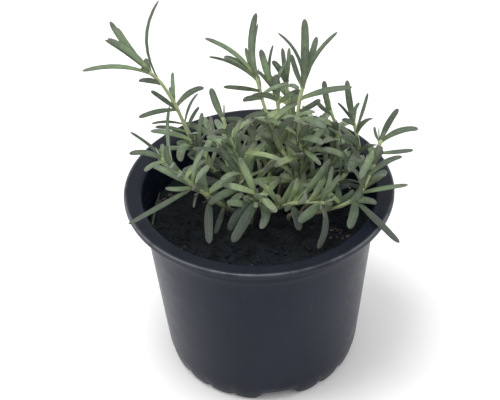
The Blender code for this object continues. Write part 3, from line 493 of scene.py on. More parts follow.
class Graph:
    """A node tree with short calls for the nodes that the finishes use."""

    def __init__(self, tree: Tree) -> None:
        """Keeps the tree."""
        self.tree = tree

    def feed(self, node: Node, inputs: Mapping[str | int, Any]) -> None:
        """Links some of a node's inputs, or sets their own values.

        Args:
            node: The node.
            inputs: A socket, number, vector or colour for each input's name or number.
        """
        for name, value in inputs.items():
            socket = node.inputs[name]
            if isinstance(value, Socket):
                self.tree.links.new(value, socket)
            elif isinstance(value, tuple) and socket.type == "RGBA":
                socket.default_value = (*value, 1.0)
            else:
                socket.default_value = value

    def add(self, kind: str, inputs: Mapping[str | int, Any], **settings: Any) -> Node:
        """A new node.

        Args:
            kind: Its kind, by Blender's own name.
            inputs: What its inputs take.
            **settings: Its properties, which are set before its inputs.

        Returns:
            The node.
        """
        node = self.tree.nodes.new(kind)
        for name, setting in settings.items():
            setattr(node, name, setting)
        self.feed(node, inputs)
        return node

    def attribute(self, name: str) -> Socket:
        """A number that the mesh holds at each point."""
        return self.add("ShaderNodeAttribute", {}, attribute_name=name).outputs["Fac"]

    def noise(self, vector: Socket, scale: Any, detail: float) -> Socket:
        """Cloudy noise from 0 to 1."""
        inputs = {"Vector": vector, "Scale": scale, "Detail": detail, "Roughness": 0.6}
        return self.add("ShaderNodeTexNoise", inputs).outputs["Fac"]

    def math(self, operation: str, first: Any, second: Any = 0.0) -> Socket:
        """One sum of two numbers."""
        return self.add("ShaderNodeMath", {0: first, 1: second}, operation=operation).outputs[0]

    def times(self, first: Any, second: Any) -> Socket:
        """Two numbers multiplied."""
        return self.math("MULTIPLY", first, second)

    def ramp(self, value: Any, span: Span, result: Span = (0.0, 1.0)) -> Socket:
        """A number taken smoothly from one span to another and held at its ends.

        Args:
            value: The number.
            span: Where the change begins and ends.
            result: What comes out there.

        Returns:
            The socket with the result.
        """
        inputs = dict(zip(("Value", "From Min", "From Max", "To Min", "To Max"),
                          (value, *span, *result)))
        return self.add("ShaderNodeMapRange", inputs,
                        interpolation_type="SMOOTHSTEP").outputs["Result"]

    def mix(self, share: Any, first: Any, second: Any, blend: str = "MIX") -> Socket:
        """The first colour at share 0, and at share 1 the second or its blend with the first."""
        node = self.add("ShaderNodeMix", {0: share, 6: first, 7: second}, data_type="RGBA",
                        blend_type=blend)
        return node.outputs[2]

    def scaled(self, vector: Socket, factors: Point) -> Socket:
        """The vector with each of its parts multiplied."""
        node = self.add("ShaderNodeVectorMath", {0: vector, 1: factors}, operation="MULTIPLY")
        return node.outputs[0]


class SocketKind(Enum):
    """The kinds of socket on a shared effect."""
    NUMBER = "NodeSocketFloat"
    VECTOR = "NodeSocketVector"
    COLOUR = "NodeSocketColor"


class Effects:
    """The node groups that more than one finish uses, each built once."""

    finer_clouds: float = 5.3
    broad_share: float = 0.65
    mottle_span: Span = (0.36, 0.64)
    finer_grain: float = 7.0

    def __init__(self) -> None:
        """Builds the three groups."""
        self.mottle = self._mottle()
        self.relief = self._relief()
        self.specks = self._specks()

    @staticmethod
    def _start(name: str, takes: Mapping[str, SocketKind], gives: Mapping[str, SocketKind]
               ) -> tuple[Graph, Outputs, Node]:
        """A new group with its sockets, two of which every group takes.

        Args:
            name: The group's name.
            takes: Its further inputs, after Vector and Scale.
            gives: Its outputs.

        Returns:
            Its graph, what it is given and its output node.
        """
        tree = bpy.data.node_groups.new(name, "ShaderNodeTree")
        takes = {"Vector": SocketKind.VECTOR, "Scale": SocketKind.NUMBER, **takes}
        for way, sockets in (("INPUT", takes), ("OUTPUT", gives)):
            for socket, kind in sockets.items():
                tree.interface.new_socket(socket, in_out=way, socket_type=kind.value)
        graph = Graph(tree)
        return graph, graph.add("NodeGroupInput", {}).outputs, graph.add("NodeGroupOutput", {})

    def _mottle(self) -> Tree:
        """Two colours mixed by broad clouds with finer ones in them.

        Returns:
            The group.
        """
        graph, given, result = self._start(
            "mottle", {"Dark": SocketKind.COLOUR, "Light": SocketKind.COLOUR},
            {"Colour": SocketKind.COLOUR, "Mask": SocketKind.NUMBER})
        broad = graph.noise(given["Vector"], given["Scale"], 2.0)
        fine_scale = graph.times(given["Scale"], self.finer_clouds)
        fine = graph.noise(given["Vector"], fine_scale, 4.0)
        both = graph.math("ADD", graph.times(broad, self.broad_share),
                          graph.times(fine, 1.0 - self.broad_share))
        mask = graph.ramp(both, self.mottle_span)
        colour = graph.mix(mask, given["Dark"], given["Light"])
        graph.feed(result, {"Colour": colour, "Mask": mask})
        return graph.tree

    def _relief(self) -> Tree:
        """Height: clouds from 0 to 1, with grains seven times finer on them up to Grain.

        Returns:
            The group.
        """
        graph, given, result = self._start("relief", {"Grain": SocketKind.NUMBER},
                                           {"Height": SocketKind.NUMBER})
        broad = graph.noise(given["Vector"], given["Scale"], 3.0)
        grain_scale = graph.times(given["Scale"], self.finer_grain)
        grain = graph.noise(given["Vector"], grain_scale, 2.0)
        height = graph.math("ADD", broad, graph.times(grain, given["Grain"]))
        graph.feed(result, {"Height": height})
        return graph.tree

    def _specks(self) -> Tree:
        """Small round spots, one in some of the cells of a Voronoi pattern.

        A spot's radius is Size in cell widths, and Share of the cells hold one.

        Returns:
            The group.
        """
        graph, given, result = self._start(
            "specks", {"Size": SocketKind.NUMBER, "Share": SocketKind.NUMBER},
            {"Mask": SocketKind.NUMBER})
        inputs = {name: given[name] for name in ("Vector", "Scale")}
        cells = graph.add("ShaderNodeTexVoronoi", inputs).outputs
        luck = graph.add("ShaderNodeSeparateColor", {0: cells["Color"]}).outputs[0]
        chosen = graph.math("LESS_THAN", luck, given["Share"])
        near = graph.math("LESS_THAN", cells["Distance"], given["Size"])
        graph.feed(result, {"Mask": graph.times(chosen, near)})
        return graph.tree


@dataclass(frozen=True)
class Relief:
    """A finish's relief: its waves a metre, how high its grain is, its strength and depth."""
    scale: float
    grain: float
    strength: float
    depth_mm: float


@dataclass(frozen=True)
class Specks:
    """Round spots: their cells a metre, their radius in cells, the share of the cells that hold
    one, and how the cells are drawn out."""
    scale: float
    size: float
    share: float
    stretch: Point = UNSTRETCHED


class Painting(Graph):
    """The nodes of one material, with its Principled shader and the shared effects."""

    def __init__(self, tree: Tree, effects: Effects) -> None:
        """Finds the shader, and the point in the object's frame in metres.

        Args:
            tree: The material's node tree.
            effects: The shared node groups.
        """
        super().__init__(tree)
        self.effects = effects
        self.shader = tree.nodes["Principled BSDF"]
        self.place = self.add("ShaderNodeTexCoord", {}).outputs["Object"]

    def dress(self, inputs: Mapping[str | int, Any]) -> None:
        """Feeds the shader."""
        self.feed(self.shader, inputs)

    def group(self, tree: Tree, stretch: Point, scale: float, **inputs: Any) -> Outputs:
        """A shared effect with this finish's own values.

        Args:
            tree: The effect.
            stretch: What each part of the place is multiplied by.
            scale: How fine the pattern is, in waves a metre.
            **inputs: What else it takes.

        Returns:
            What it gives.
        """
        inputs = {"Vector": self.scaled(self.place, stretch), "Scale": scale, **inputs}
        return self.add("ShaderNodeGroup", inputs, node_tree=tree).outputs

    def mottle(self, scale: float, dark: Colour, light: Colour, stretch: Point = UNSTRETCHED
               ) -> Outputs:
        """Two colours in clouds."""
        return self.group(self.effects.mottle, stretch, scale, Dark=dark, Light=light)

    def specks(self, specks: Specks) -> Socket:
        """A mask of small round spots."""
        return self.group(self.effects.specks, specks.stretch, specks.scale, Size=specks.size,
                          Share=specks.share)["Mask"]

    def emboss(self, relief: Relief, stretch: Point = UNSTRETCHED) -> None:
        """Feeds the shader's normal.

        Args:
            relief: The relief.
            stretch: What each part of the place is multiplied by.
        """
        height = self.group(self.effects.relief, stretch, relief.scale, Grain=relief.grain)
        inputs = {"Height": height["Height"], "Strength": relief.strength,
                  "Distance": relief.depth_mm * MM}
        self.dress({"Normal": self.add("ShaderNodeBump", inputs).outputs["Normal"]})


@dataclass(frozen=True)
class Finish:
    """What every finish has: a name and a way to paint."""
    name: str

    def material(self, effects: Effects) -> Material:
        """Builds the material.

        Args:
            effects: The shared node groups.

        Returns:
            The material.
        """
        material = bpy.data.materials.new(self.name)
        material.use_nodes = True
        self.paint(Painting(material.node_tree, effects))
        return material

    def paint(self, graph: Painting) -> None:
        """Feeds the shader. Each finish says here what it shows."""


@dataclass(frozen=True)
class LeafFinish(Finish):
    """Sage-green leaf: yellow-green foot, greyer tip; painted shade on its margins and greyer
    underside.
    """
    name: str = "rosemary_leaf"
    grown_dark: Colour = (0.032, 0.047, 0.036)
    grown_light: Colour = (0.184, 0.262, 0.152)
    fresh: Colour = (0.265, 0.340, 0.155)
    base: Colour = (0.310, 0.375, 0.150)
    rib: Colour = (0.260, 0.315, 0.180)
    # The underside's grey is darkened as painted shade.
    under: Colour = (0.128, 0.160, 0.118)
    tip: Colour = (0.100, 0.103, 0.094)
    # Painted shade along the rolled margins.
    margin_shade: Colour = (0.050, 0.062, 0.042)
    mottle_dark: Colour = (0.74, 0.76, 0.74)
    mottle_light: Colour = (1.14, 1.12, 1.10)
    mottle_scale: float = 330.0
    lively_luck: Span = (0.0, 0.7)
    lively: Span = (0.18, 1.0)
    foot_along: Span = (0.48, 0.0)
    foot_strength: Span = (0.0, 0.75)
    rib_across: Span = (0.24, 0.02)
    rib_above: float = 0.30
    rib_below: float = 0.5
    under_strength: float = 0.7
    side_change: Span = (0.35, 0.65)
    tip_along: Span = (0.64, 0.97)
    tip_strength: Span = (0.0, 0.65)
    margin_shade_across: Span = (0.70, 1.0)
    margin_shade_strength: Span = (0.0, 0.6)
    roughness: Span = (0.52, 0.68)
    sheen: float = 0.22
    sheen_roughness: float = 0.45
    specular: float = 0.38
    felt: Relief = Relief(1100.0, 0.5, 0.55, 0.10)

    def paint(self, graph: Painting) -> None:
        """Paints by the blades' own values: along and across the blade, side, luck and youth.

        Args:
            graph: The material's nodes.
        """
        along, across, luck, youth, upper = (
            graph.attribute(name) for name in ("along", "across", "luck", "youth", "upper"))
        across = graph.math("ABSOLUTE", across)
        # luck holds a random tone times the painted light and shade of the leaf's place, so this
        # dark-to-light mix is partly painted.
        blade = graph.mix(youth, graph.mix(luck, self.grown_dark, self.grown_light), self.fresh)
        lively = graph.ramp(luck, self.lively_luck, self.lively)
        foot = graph.ramp(along, self.foot_along, self.foot_strength)
        blade = graph.mix(graph.times(foot, lively), blade, self.base)
        rib = graph.times(graph.ramp(across, self.rib_across), lively)
        above = graph.mix(graph.times(rib, self.rib_above), blade, self.rib)
        # The underside colour is greyer and partly painted shade.
        below = graph.mix(graph.times(lively, self.under_strength), blade, self.under)
        below = graph.mix(graph.times(rib, self.rib_below), below, self.rib)
        sides = graph.mix(graph.ramp(upper, self.side_change), below, above)
        end = graph.ramp(along, self.tip_along, self.tip_strength)
        greyed = graph.mix(graph.times(end, lively), sides, self.tip)
        # The margins are darkened as painted shade.
        edge = graph.ramp(across, self.margin_shade_across, self.margin_shade_strength)
        painted_light = graph.mix(edge, greyed, self.margin_shade)
        shade = graph.mottle(self.mottle_scale, self.mottle_dark, self.mottle_light)
        graph.dress({"Base Color": graph.mix(1.0, painted_light, shade["Colour"], "MULTIPLY"),
                     "Roughness": graph.ramp(shade["Mask"], (0.0, 1.0), self.roughness),
                     "Sheen Weight": self.sheen, "Sheen Roughness": self.sheen_roughness,
                     "Specular IOR Level": self.specular})
        graph.emboss(self.felt)


@dataclass(frozen=True)
class StemFinish(Finish):
    """Young stem: yellow-green and downy above, browner and duller towards the soil."""
    name: str = "rosemary_stem"
    old: Colour = (0.130, 0.105, 0.080)
    young: Colour = (0.350, 0.405, 0.215)
    streak: Colour = (0.270, 0.325, 0.160)
    stretch: Point = (1.0, 1.0, 0.22)
    streak_scale: float = 900.0
    streak_strength: float = 0.55
    grown_up: Span = (0.0, 0.55)
    roughness: float = 0.55
    sheen: float = 0.3
    sheen_roughness: float = 0.4
    down: Relief = Relief(1300.0, 0.6, 0.5, 0.12)

    def paint(self, graph: Painting) -> None:
        """Paints streaks along the stem and its age by its value.

        Args:
            graph: The material's nodes.
        """
        youth = graph.ramp(graph.attribute("youth"), self.grown_up)
        streaks = graph.mottle(self.streak_scale, (0.0, 0.0, 0.0), (1.0, 1.0, 1.0), self.stretch)
        share = graph.times(streaks["Mask"], self.streak_strength)
        colour = graph.mix(share, graph.mix(youth, self.old, self.young), self.streak)
        graph.dress({"Base Color": colour, "Roughness": self.roughness,
                     "Sheen Weight": self.sheen, "Sheen Roughness": self.sheen_roughness})
        graph.emboss(self.down, self.stretch)


@dataclass(frozen=True)
class PlasticFinish(Finish):
    """Dark bluish moulded plastic: soft sheen, flow marks, scuffs and a dusty foot, with a painted
    highlight on the rim's crest and painted shade on its flat top.
    """
    name: str = "pot_moulded_plastic"
    dark: Colour = (0.0034, 0.0066, 0.0160)
    light: Colour = (0.0050, 0.0090, 0.0200)
    # Scuff colour, also used for the painted highlight on the crest.
    scuff_and_highlight: Colour = (0.145, 0.154, 0.170)
    dust: Colour = (0.120, 0.112, 0.098)
    dirt: Colour = (0.075, 0.052, 0.032)
    # Painted shade: a greyer, less blue tone on the rim's flat top.
    rim_top_shade: Colour = (0.0075, 0.0088, 0.0105)
    flow_scale: float = 38.0
    flow_stretch: Point = (1.0, 1.0, 0.35)
    scuffs: Specks = Specks(420.0, 0.30, 0.03, (1.0, 1.0, 0.3))
    scuff_strength: float = 0.03
    # The crest's painted highlight in scuff colour; its polish lowers roughness for real gloss.
    crest_flow: Span = (0.1, 0.8)
    crest_highlight: Span = (0.35, 1.0)
    crest_highlight_strength: float = 0.7
    crest_polish: float = 0.18
    # Share of the painted shade on the rim's flat top.
    rim_top_shade_strength: float = 0.7
    film_scale: float = 160.0
    film_detail: float = 5.0
    dust_film: Span = (0.40, 0.70)
    dust_strength: float = 0.10
    grime: Specks = Specks(300.0, 0.42, 0.22)
    grime_film: Span = (0.42, 0.62)
    grime_strength: float = 0.6
    inside_dullness: float = 0.12
    rough_film: Span = (0.30, 0.72)
    roughness: Span = (0.31, 0.37)
    specular: float = 0.165
    grain: Relief = Relief(700.0, 0.35, 0.16, 0.06)

    def paint(self, graph: Painting) -> None:
        """Paints the plastic, with the painted light, dust and dirt that the pot's values place.

        Args:
            graph: The material's nodes.
        """
        crest, plate, foot, inside = (
            graph.attribute(name) for name in ("crest", "plate", "foot", "inside"))
        flow = graph.mottle(self.flow_scale, self.dark, self.light, self.flow_stretch)
        film = graph.noise(graph.place, self.film_scale, self.film_detail)
        # The crest band's painted highlight, stronger where the flow mask is.
        painted_light = graph.times(crest, graph.ramp(flow["Mask"], self.crest_flow, self.crest_highlight))
        dusty = graph.times(foot, graph.ramp(film, self.dust_film))
        spots = graph.times(graph.specks(self.grime), graph.ramp(film, self.grime_film))
        colour = flow["Colour"]
        # The rim's flat top takes painted shade and its crest a painted highlight; the scuffs,
        # dust and dirt are real.
        for share, strength, over in (
                (plate, self.rim_top_shade_strength, self.rim_top_shade), (painted_light, self.crest_highlight_strength, self.scuff_and_highlight),
                (graph.specks(self.scuffs), self.scuff_strength, self.scuff_and_highlight),
                (dusty, self.dust_strength, self.dust),
                (graph.times(inside, spots), self.grime_strength, self.dirt)):
            colour = graph.mix(graph.times(share, strength), colour, over)
        rough = graph.ramp(film, self.rough_film, self.roughness)
        rough = graph.math("ADD", rough, graph.times(inside, self.inside_dullness))
        rough = graph.math("SUBTRACT", rough, graph.times(crest, self.crest_polish))
        graph.dress({"Base Color": colour, "Roughness": rough,
                     "Specular IOR Level": self.specular})
        graph.emboss(self.grain)


@dataclass(frozen=True)
class SoilFinish(Finish):
    """Moist potting soil: nearly black, dull, with brown fibres and a few pale grains."""
    name: str = "potting_soil"
    dark: Colour = (0.0052, 0.0072, 0.0090)
    light: Colour = (0.0115, 0.0156, 0.0186)
    fibre: Colour = (0.032, 0.029, 0.024)
    grain: Colour = (0.150, 0.140, 0.125)
    mottle_scale: float = 420.0
    fibres: Specks = Specks(620.0, 0.30, 0.03, (1.0, 0.3, 1.0))
    fibre_strength: float = 0.6
    grains: Specks = Specks(820.0, 0.28, 0.012)
    grain_strength: float = 0.7
    roughness: Span = (0.72, 0.95)
    specular: float = 0.2
    ground: Relief = Relief(520.0, 0.8, 0.6, 0.5)

    def paint(self, graph: Painting) -> None:
        """Paints the soil's two tones, its fibres and its grains.

        Args:
            graph: The material's nodes.
        """
        crumbs = graph.mottle(self.mottle_scale, self.dark, self.light)
        share = graph.times(graph.specks(self.fibres), self.fibre_strength)
        colour = graph.mix(share, crumbs["Colour"], self.fibre)
        share = graph.times(graph.specks(self.grains), self.grain_strength)
        graph.dress({"Base Color": graph.mix(share, colour, self.grain),
                     "Roughness": graph.ramp(crumbs["Mask"], (0.0, 1.0), self.roughness),
                     "Specular IOR Level": self.specular})
        graph.emboss(self.ground)


@dataclass(frozen=True)
class DryFinish(Finish):
    """Dry plant matter or mineral grit: two mottled tones, dull and a little wrinkled."""
    dark: Colour
    light: Colour
    mottle_scale: float = 650.0
    roughness: float = 0.8
    wrinkles: Relief = Relief(900.0, 0.5, 0.6, 0.15)

    def paint(self, graph: Painting) -> None:
        """Paints the two tones.

        Args:
            graph: The material's nodes.
        """
        tone = graph.mottle(self.mottle_scale, self.dark, self.light)
        graph.dress({"Base Color": tone["Colour"], "Roughness": self.roughness})
        graph.emboss(self.wrinkles)


@dataclass(frozen=True)
class FloorFinish(Finish):
    """The plain pale floor."""
    name: str = "pale_floor"
    colour: Colour = (0.93, 0.93, 0.93)
    roughness: float = 0.9

    def paint(self, graph: Painting) -> None:
        """Paints one plain tone."""
        graph.dress({"Base Color": self.colour, "Roughness": self.roughness})


def arc(centre: Span, radius: float, start_deg: float, end_deg: float, count: int) -> Array:
    """Points round a centre at one radius, as rows of pot radius and height."""
    angles = np.radians(np.linspace(start_deg, end_deg, count))
    return np.stack([centre[0] + radius * np.cos(angles), centre[1] + radius * np.sin(angles)], 1)


def line(start: Span, end: Span, count: int) -> Array:
    """Evenly spaced points from start up to, but not at, end."""
    share = np.arange(count)[:, None] / count
    return np.array(start) + share * (np.array(end) - np.array(start))


@dataclass
class Pot:
    """The nursery pot: one thin shell turned round +Z, with lobes along its foot.

    Sizes are in millimetres. The section runs from the middle of the floor's underside
    out to the foot, up the wall, over the rim and down the inside to the floor's middle.
    """
    lip_depth: float = 2.4
    lip_thickness: float = 1.2
    lip_round: float = 0.42
    lip_fillet: float = 0.4
    rim_round: float = 1.0
    rim_dish: float = 0.35
    rim_inner_round: float = 2.4
    crest_width: float = 1.9
    crest_drop: float = 0.12
    neck_fillet: float = 0.6
    neck_clear: float = 1.6
    shoulder_height: float = 80.0
    shoulder_step: float = 0.2
    step_drop: float = 0.7
    step_rise: float = 1.5
    step_start: float = 0.3
    step_clear: float = 1.6
    wall_foot: float = 14.0
    wall_clear: float = 3.0
    inside_top: float = 88.0
    foot_start: float = 0.6
    foot_curl: float = 1.8
    foot_curl_power: float = 3.8
    foot_round: float = 0.5
    foot_radius: float = 42.4
    foot_width: float = 1.8
    foot_slope: float = 1.2
    foot_height: float = 9.0
    floor_under: float = 4.4
    under_middle: float = 6.0
    floor_middle: float = 3.0
    columns: int = 192
    first_notch_deg: float = -81.0
    notch_half_deg: float = 11.25
    notch_slope_deg: float = 2.8
    notch_lift: float = 3.8
    lobe_deg: float = 16.875
    cusp_lift: float = 1.4
    cusp_inset: float = 0.5
    drain_radius: float = 4.5
    drain_ring: float = 31.0
    drain_sides: int = 32
    drain_past: float = 2.0
    # The crest band, where a highlight is painted and the plastic is glossier.
    crest_band_inset: float = 0.6
    crest_band_reach: float = 0.45
    crest_band_depth: float = 1.2
    plate_depth: float = 0.6
    dust_height: float = 24.0
    splash_depth: float = 6.0

    def section(self) -> Array:
        """The shell's section, stretch by stretch.

        Returns:
            Radius and height of its points, without the two on the axis.
        """
        inner_foot = self.foot_radius - self.foot_width
        foot_top = (inner_foot - self.foot_slope, self.floor_under)
        corner = self.foot_round
        low = np.linspace(self.foot_start, self.wall_foot, 15)
        curl = self.foot_curl * ((self.wall_foot - low) / self.wall_foot) ** self.foot_curl_power
        below_step = self.shoulder_height - self.step_drop
        rise = np.linspace(0.0, 1.0, 6)
        plate_under = RIM_HEIGHT - self.lip_thickness
        step_end = below_step + self.step_clear
        neck_foot = plate_under - self.neck_fillet
        neck = wall_radius(plate_under) + self.shoulder_step
        lip_in = RIM_RADIUS - self.lip_thickness
        lip_turn = lip_in - self.lip_fillet
        hem_height = RIM_HEIGHT - self.lip_depth + self.lip_round
        crest_centre = (RIM_RADIUS - self.rim_round, RIM_HEIGHT - self.rim_round)
        dish = RIM_HEIGHT - self.rim_dish
        mouth = inner_radius(RIM_HEIGHT - self.rim_inner_round) + self.rim_inner_round
        floor_turn = (inner_radius(FLOOR_CORNER), FLOOR_CORNER)
        floor_edge = (FLOOR_RADIUS, FLOOR_TOP)
        wall_low = self.wall_foot + self.wall_clear
        under = [
            line((self.under_middle, self.floor_under), foot_top, 7),
            line(foot_top, (inner_foot, corner), 5),
            arc((inner_foot + corner, corner), corner, 180.0, 270.0, 4),
            arc((self.foot_radius - corner, corner), corner, 270.0, 330.0, 4)]
        outside = [
            np.stack([wall_radius(low) - curl, low], 1),
            line((wall_radius(wall_low), wall_low), (wall_radius(below_step), below_step), 16),
            np.stack([wall_radius(below_step + rise) + self.shoulder_step * rise,
                      below_step + self.step_rise * (rise - self.step_start)], 1),
            line((wall_radius(step_end) + self.shoulder_step, step_end),
                 (wall_radius(neck_foot) + self.shoulder_step, neck_foot), 5),
            arc((neck + self.neck_fillet, neck_foot), self.neck_fillet, 180.0, 90.0, 4)]
        rim = [
            line((neck + self.neck_clear, plate_under), (lip_turn, plate_under), 3),
            arc((lip_turn, plate_under - self.lip_fillet), self.lip_fillet, 90.0, 0.0, 4),
            arc((lip_in + self.lip_round, hem_height), self.lip_round, 180.0, 270.0, 4),
            arc((RIM_RADIUS - self.lip_round, hem_height), self.lip_round, 270.0, 360.0, 4),
            arc(crest_centre, self.rim_round, 0.0, 100.0, 8),
            line((RIM_RADIUS - self.crest_width, RIM_HEIGHT - self.crest_drop), (mouth, dish), 5),
            arc((mouth, dish - self.rim_inner_round), self.rim_inner_round, 90.0, 180.0, 9)]
        inside = [
            line((inner_radius(self.inside_top), self.inside_top), floor_turn, 16),
            line(floor_turn, floor_edge, 3),
            line(floor_edge, (self.floor_middle, FLOOR_TOP), 8)]
        return np.concatenate(under + outside + rim + inside)

    def foot_form(self, angle_deg: Array) -> tuple[Array, Array]:
        """Lift and inset of the foot at each angle.

        A quarter holds a notch and four lobes. A lobe's lift is the fourth power of the
        distance from its middle, so it is round in between and pointed where two lobes meet.

        Args:
            angle_deg: Angles round the pot in degrees.

        Returns:
            The lift and the inset in millimetres.
        """
        from_notch = np.abs((angle_deg - self.first_notch_deg + 45.0) % 90.0 - 45.0)
        in_lobe = ((from_notch - self.notch_half_deg) % self.lobe_deg) / self.lobe_deg - 0.5
        cusp = np.abs(2.0 * in_lobe) ** 4
        in_notch = smooth_step((self.notch_half_deg - from_notch) / self.notch_slope_deg)
        is_lobe = from_notch >= self.notch_half_deg
        lift = np.where(is_lobe, self.cusp_lift * cusp,
                        self.cusp_lift + (self.notch_lift - self.cusp_lift) * in_notch)
        inset = np.where(is_lobe, self.cusp_inset * cusp, self.cusp_inset * (1.0 - in_notch))
        return lift, inset

    def surface(self) -> Surface:
        """The section at every angle, raised and drawn in along the foot.

        Lift and inset act in full on the floor and fade evenly to nothing at a height.

        Returns:
            The shell, with its values for the finish.
        """
        section = self.section()
        angle_deg = self.first_notch_deg + 360.0 * np.arange(self.columns) / self.columns
        angle = np.radians(angle_deg)
        lift, inset = self.foot_form(angle_deg)
        radius, height = section[:, :1], section[:, 1:]
        top = np.argmax(section[:, 1] >= RIM_HEIGHT - SAME_HEIGHT)
        is_inner = np.arange(len(section))[:, None] > top
        reach = np.where(radius < self.foot_radius - self.foot_width, self.floor_under,
                         self.foot_height)
        share = np.where(is_inner, 0.0, np.clip(1.0 - height / reach, 0.0, 1.0))
        turned_radius = radius - inset * share * (height < self.foot_height)
        lifted = height + lift * share
        rings = np.stack([turned_radius * np.cos(angle), turned_radius * np.sin(angle), lifted],
                         -1)
        surface = tubes(rings[None], on_axis(self.floor_under), on_axis(FLOOR_TOP))
        # crest marks the band where a highlight is painted along the rim's crest.
        from_edge = (radius - RIM_RADIUS + self.crest_band_inset) / self.crest_band_reach
        named = {
            "crest": np.exp(-from_edge ** 2) * (height > RIM_HEIGHT - self.crest_band_depth),
            # plate is the rim's flat top, which takes painted shade.
            "plate": np.clip((height - RIM_HEIGHT) / self.plate_depth + 1.0, 0.0, 1.0),
            "foot": np.clip(1.0 - height / self.dust_height, 0.0, 1.0) * ~is_inner,
            "inside": np.clip((RIM_HEIGHT - height) / self.splash_depth, 0.0, 1.0) * is_inner}
        zero = np.zeros(1)
        surface.values = {name: tube_values(np.tile(value, self.columns)[None], zero, zero)
                          for name, value in named.items()}
        return surface

    def drain(self, piece: Object) -> None:
        """Cuts the floor's round drain holes, one in the middle and one by each notch.

        Args:
            piece: The pot, whose mesh is swapped for the cut one.
        """
        angles = np.radians(self.first_notch_deg + 90.0 * np.arange(4))
        ring = self.drain_ring * np.stack([np.cos(angles), np.sin(angles)], 1)
        centres = np.concatenate([np.zeros((1, 2)), ring])
        turn = np.linspace(0.0, math.tau, self.drain_sides, endpoint=False)
        circle = self.drain_radius * np.stack([np.cos(turn), np.sin(turn)], 1)
        heights = (self.floor_under - self.drain_past, FLOOR_TOP + self.drain_past)
        rings = np.stack([np.insert(centres[:, None] + circle, 2, height, -1)
                          for height in heights], 1)
        first, last = (np.insert(centres, 2, height, -1) for height in heights)
        cutter = new_object("drain_plugs", tubes(rings, first, last).mesh("drain_plugs"))
        cut = piece.modifiers.new("drain", "BOOLEAN")
        cut.operation = "DIFFERENCE"
        cut.solver = "EXACT"
        cut.object = cutter
        depsgraph = bpy.context.evaluated_depsgraph_get()
        depsgraph.update()
        drained = bpy.data.meshes.new_from_object(piece.evaluated_get(depsgraph))
        piece.modifiers.clear()
        piece.data = drained
        bpy.data.objects.remove(cutter, do_unlink=True)

    def build(self, effects: Effects) -> None:
        """Makes the pot in place of its solid.

        Args:
            effects: The shared node groups.
        """
        piece = make_piece("nursery_pot", self.surface(), [PlasticFinish().material(effects)],
                           ["pot"])
        self.drain(piece)


@dataclass(frozen=True)
class Scatter:
    """Grains strewn round some places on the soil: how far, how large and by which draws."""
    finish: DryFinish
    places: tuple[Span, ...]
    spread: float
    size: float
    seed: int
    each: int = 5


